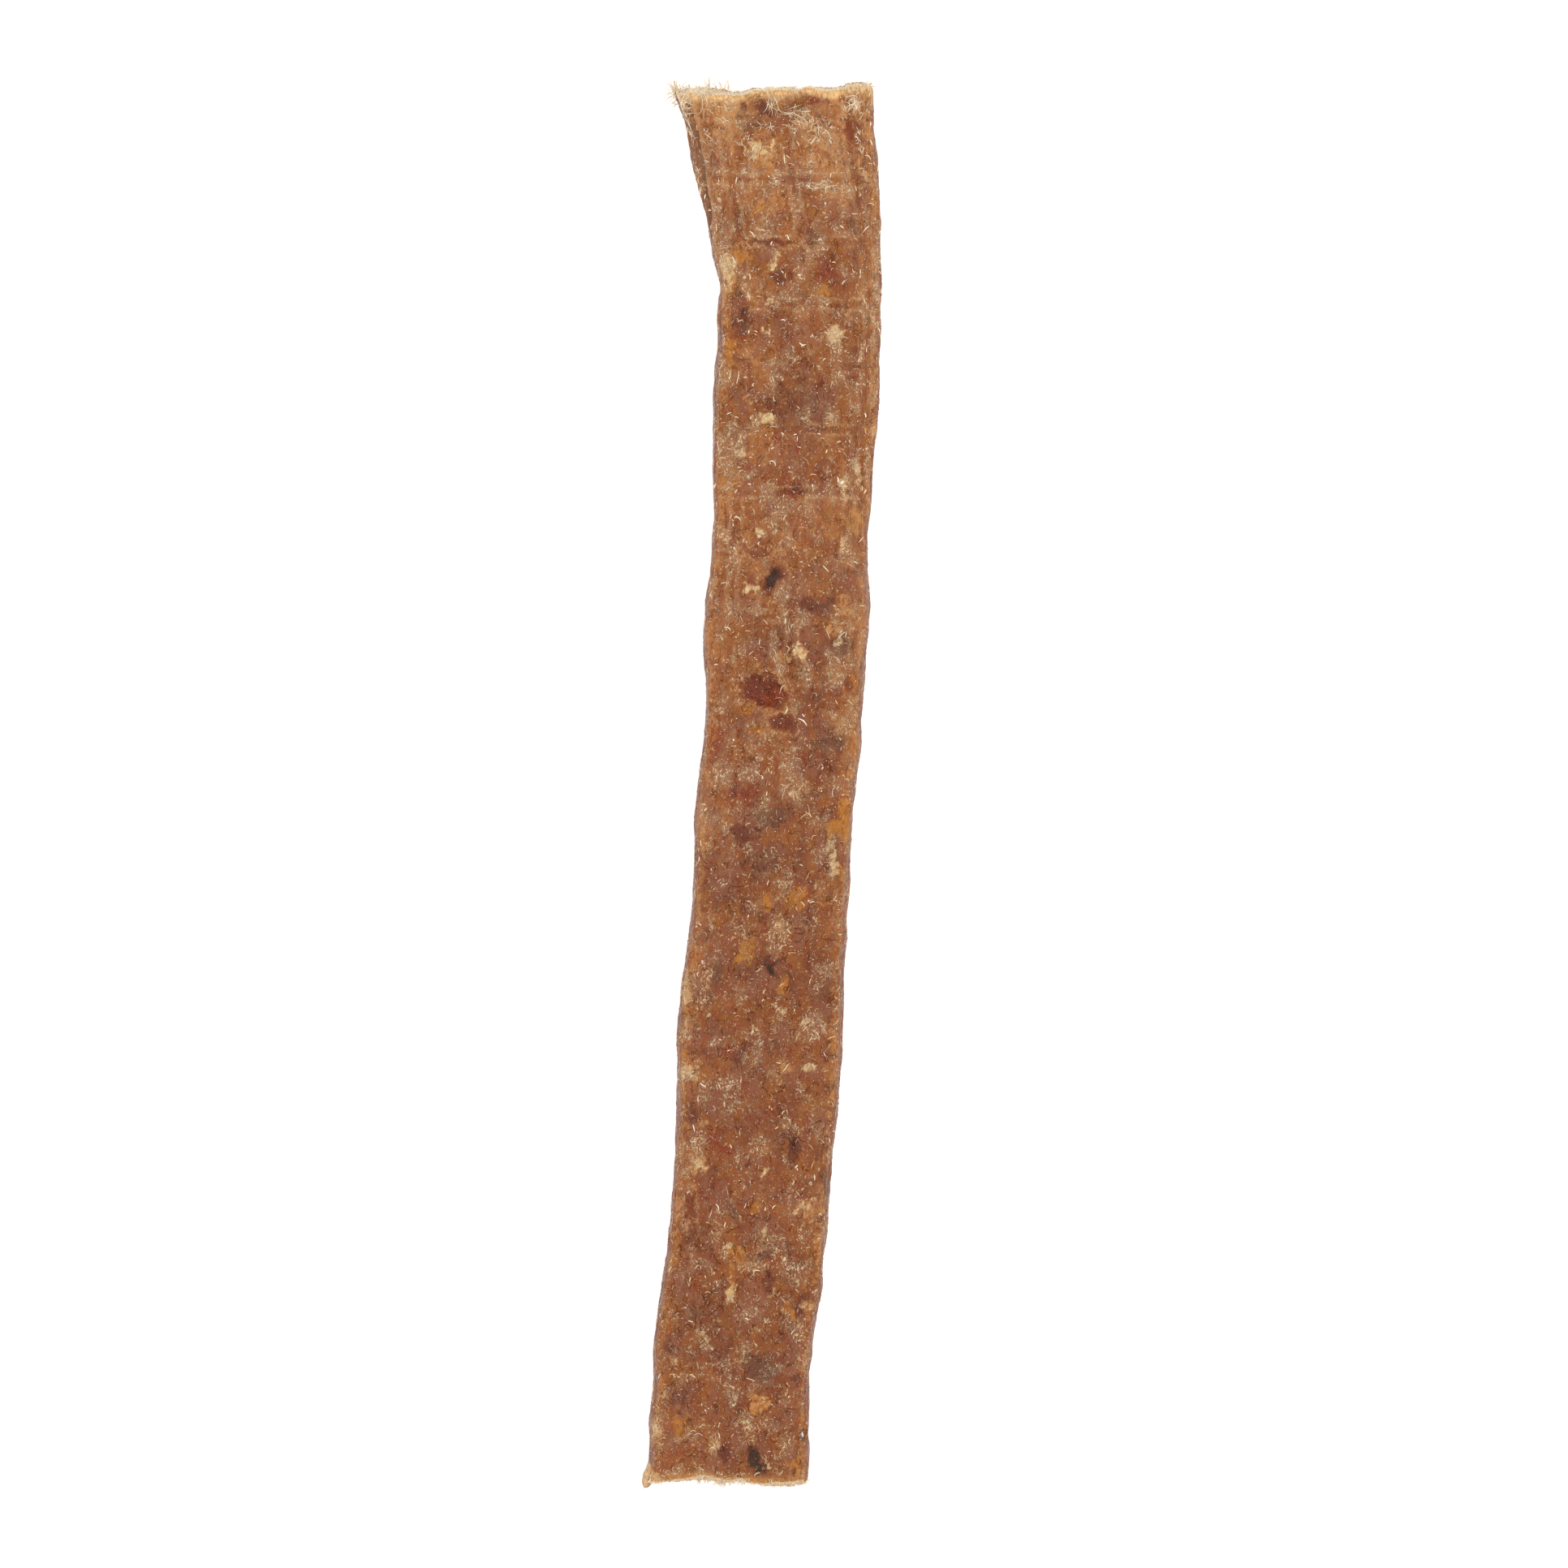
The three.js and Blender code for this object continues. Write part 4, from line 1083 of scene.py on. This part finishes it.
draw = random.Random(33)
fringe = Hairs()
for x, y, lean, fan, count, longest in TUFTS:
    for _ in range(count):
        heading = flat_heading(math.radians(draw.gauss(lean, fan)), draw.gauss(0.1, 0.3))
        spot = Vector((draw.gauss(x, 0.5), y, draw.uniform(*TUFT_HEIGHTS))) * MM
        root, normal, _, _ = surface.find_nearest(spot)
        length = draw.uniform(0.2, 1.0) * longest * MM
        path = standing_path(root - normal * ROOT_DEPTH * MM, heading, length, 6, TUFT_WAVES)
        fringe.add(path, draw.uniform(*TUFT_RADII) * MM, draw.uniform(*TUFT_TONES))
ends = [p for p in faces if abs(p.center.y) > 98 * MM and abs(p.normal.y) > 0.3]
end_weights = [p.area * (1 + 3 * (p.center.z > 3 * MM)) for p in ends]
for face in draw.choices(ends, weights=end_weights, k=SHORT_FUZZ):
    heading = Vector((
        draw.gauss(0, 0.8),
        math.copysign(draw.uniform(0.2, 1.0), face.center.y),
        draw.gauss(0.3, 0.5),
    ))
    length = min(draw.lognormvariate(*FUZZ_LENGTHS), LONGEST_FUZZ) * MM
    path = standing_path(face.center - face.normal * ROOT_DEPTH * MM, heading, length, 4, FUZZ_WAVES)
    low_down = face.center.z < 2.5 * MM
    fringe.add(path, draw.uniform(*FUZZ_RADII) * MM, draw.uniform(*FUZZ_TONES) - 0.5 * low_down)
fringe.piece("cut_end_fringe", dried_fibre)

# The corner flap
# The plain end's left corner is torn, and this bit of it bulges out over the cut. It is the strip's own
# meat, so it has the strip's material.
FLAP_MIDDLE = (-16.25, -98.9, 2.5)
FLAP_HALF_SIZES = (0.85, 2.1, 1.9)
FLAP_DROOP = math.radians(10)
FLAP_TURN = math.radians(-20)
FLAP_RELIEF = [(0.24, (0.7, 1.2, 0.6), 16, 3)]
bpy.ops.mesh.primitive_uv_sphere_add(segments=24, ring_count=16, radius=1.0)
flap = bpy.context.active_object
flap.name = "corner_flap"
flap.scale = [half * MM for half in FLAP_HALF_SIZES]
flap.rotation_euler = (FLAP_DROOP, 0, FLAP_TURN)
flap.location = [v * MM for v in FLAP_MIDDLE]
bpy.ops.object.transform_apply(location=True, rotation=True, scale=True)
flap_place = vertex_values(flap.data, "co") / MM
flap_facing = vertex_values(flap.data, "normal")
dent = layered(flap_place, FLAP_RELIEF)
move_vertices(flap.data, flap_place + flap_facing * dent[:, None])
mark(flap, "cut", 0.8 * ease(flap_place[:, 2] + 3.0 * dent, 2.0, 3.8))
# Painted shade in the flap's dents, as on the strip.
mark(flap, "hollow_shade", np.clip(0.35 - dent, 0, 1))
mark(flap, "fuzzy", np.full(len(dent), 0.6))
flap.data.materials.append(strip.data.materials[0])
bpy.ops.object.shade_smooth()
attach(flap, "root")

# The table
# A plain white table under the chew, which isn't part of it. It glows a little, so shadows stay
# faint, and lies just under the lowest bumps of the strip's underside.
TABLE_SIZE = 3.0
TABLE_LEVEL = -0.105 * MM
TABLE_SHADER = {
    "Base Color": (0.97, 0.97, 0.97, 1.0),
    "Roughness": 0.9,
    "Specular IOR Level": 0.1,
    "Emission Color": (1.0, 1.0, 1.0, 1.0),
    "Emission Strength": 0.45,
}
bpy.ops.mesh.primitive_plane_add(size=TABLE_SIZE, location=(0, 0, TABLE_LEVEL))
table = bpy.context.active_object
table.name = "table"
pale = bpy.data.materials.new("pale_table")
pale.use_nodes = True
for name, value in TABLE_SHADER.items():
    pale.node_tree.nodes["Principled BSDF"].inputs[name].default_value = value
table.data.materials.append(pale)

# The light
# A soft lamp from the upper right, two weaker ones from the left and the front, and a pale room.
ROOM_GLOW = 0.42
LAMP_SIZE = 0.8
LAMPS = [
    ("key_lamp", (0.42, 0.45, 1.25), 8.0),
    ("left_lamp", (-0.55, 0.1, 1.2), 5.0),
    ("front_lamp", (0.1, -0.6, 1.1), 4.5),
]
world = bpy.data.worlds.new("pale_room")
world.use_nodes = True
room = world.node_tree.nodes["Background"].inputs
room["Color"].default_value = (1.0, 1.0, 1.0, 1.0)
room["Strength"].default_value = ROOM_GLOW
bpy.context.scene.world = world

for name, where, power in LAMPS:
    light = bpy.data.lights.new(name, "AREA")
    light.shape = "DISK"
    light.size = LAMP_SIZE
    light.energy = power
    lamp = add_object(name, light)
    lamp.location = where
    lamp.rotation_mode = "QUATERNION"
    lamp.rotation_quaternion = (-Vector(where)).to_track_quat("-Z", "Y")

# The camera
# It looks straight down on the strip, from far enough off that the picture is nearly without perspective.
PICTURE_SIDE = 224.1 * MM
PICTURE_MIDDLE = (3.0 * MM, -0.1 * MM)
STRIP_TOP = 5.3 * MM
CAMERA_HEIGHT = 1.2
SENSOR = 36.0
optics = bpy.data.cameras.new("camera")
optics.sensor_width = SENSOR
optics.lens = SENSOR * CAMERA_HEIGHT / PICTURE_SIDE
camera = add_object("camera", optics)
camera.location = (*PICTURE_MIDDLE, CAMERA_HEIGHT + STRIP_TOP)
bpy.context.scene.camera = camera
bpy.context.scene.view_settings.view_transform = "Standard"
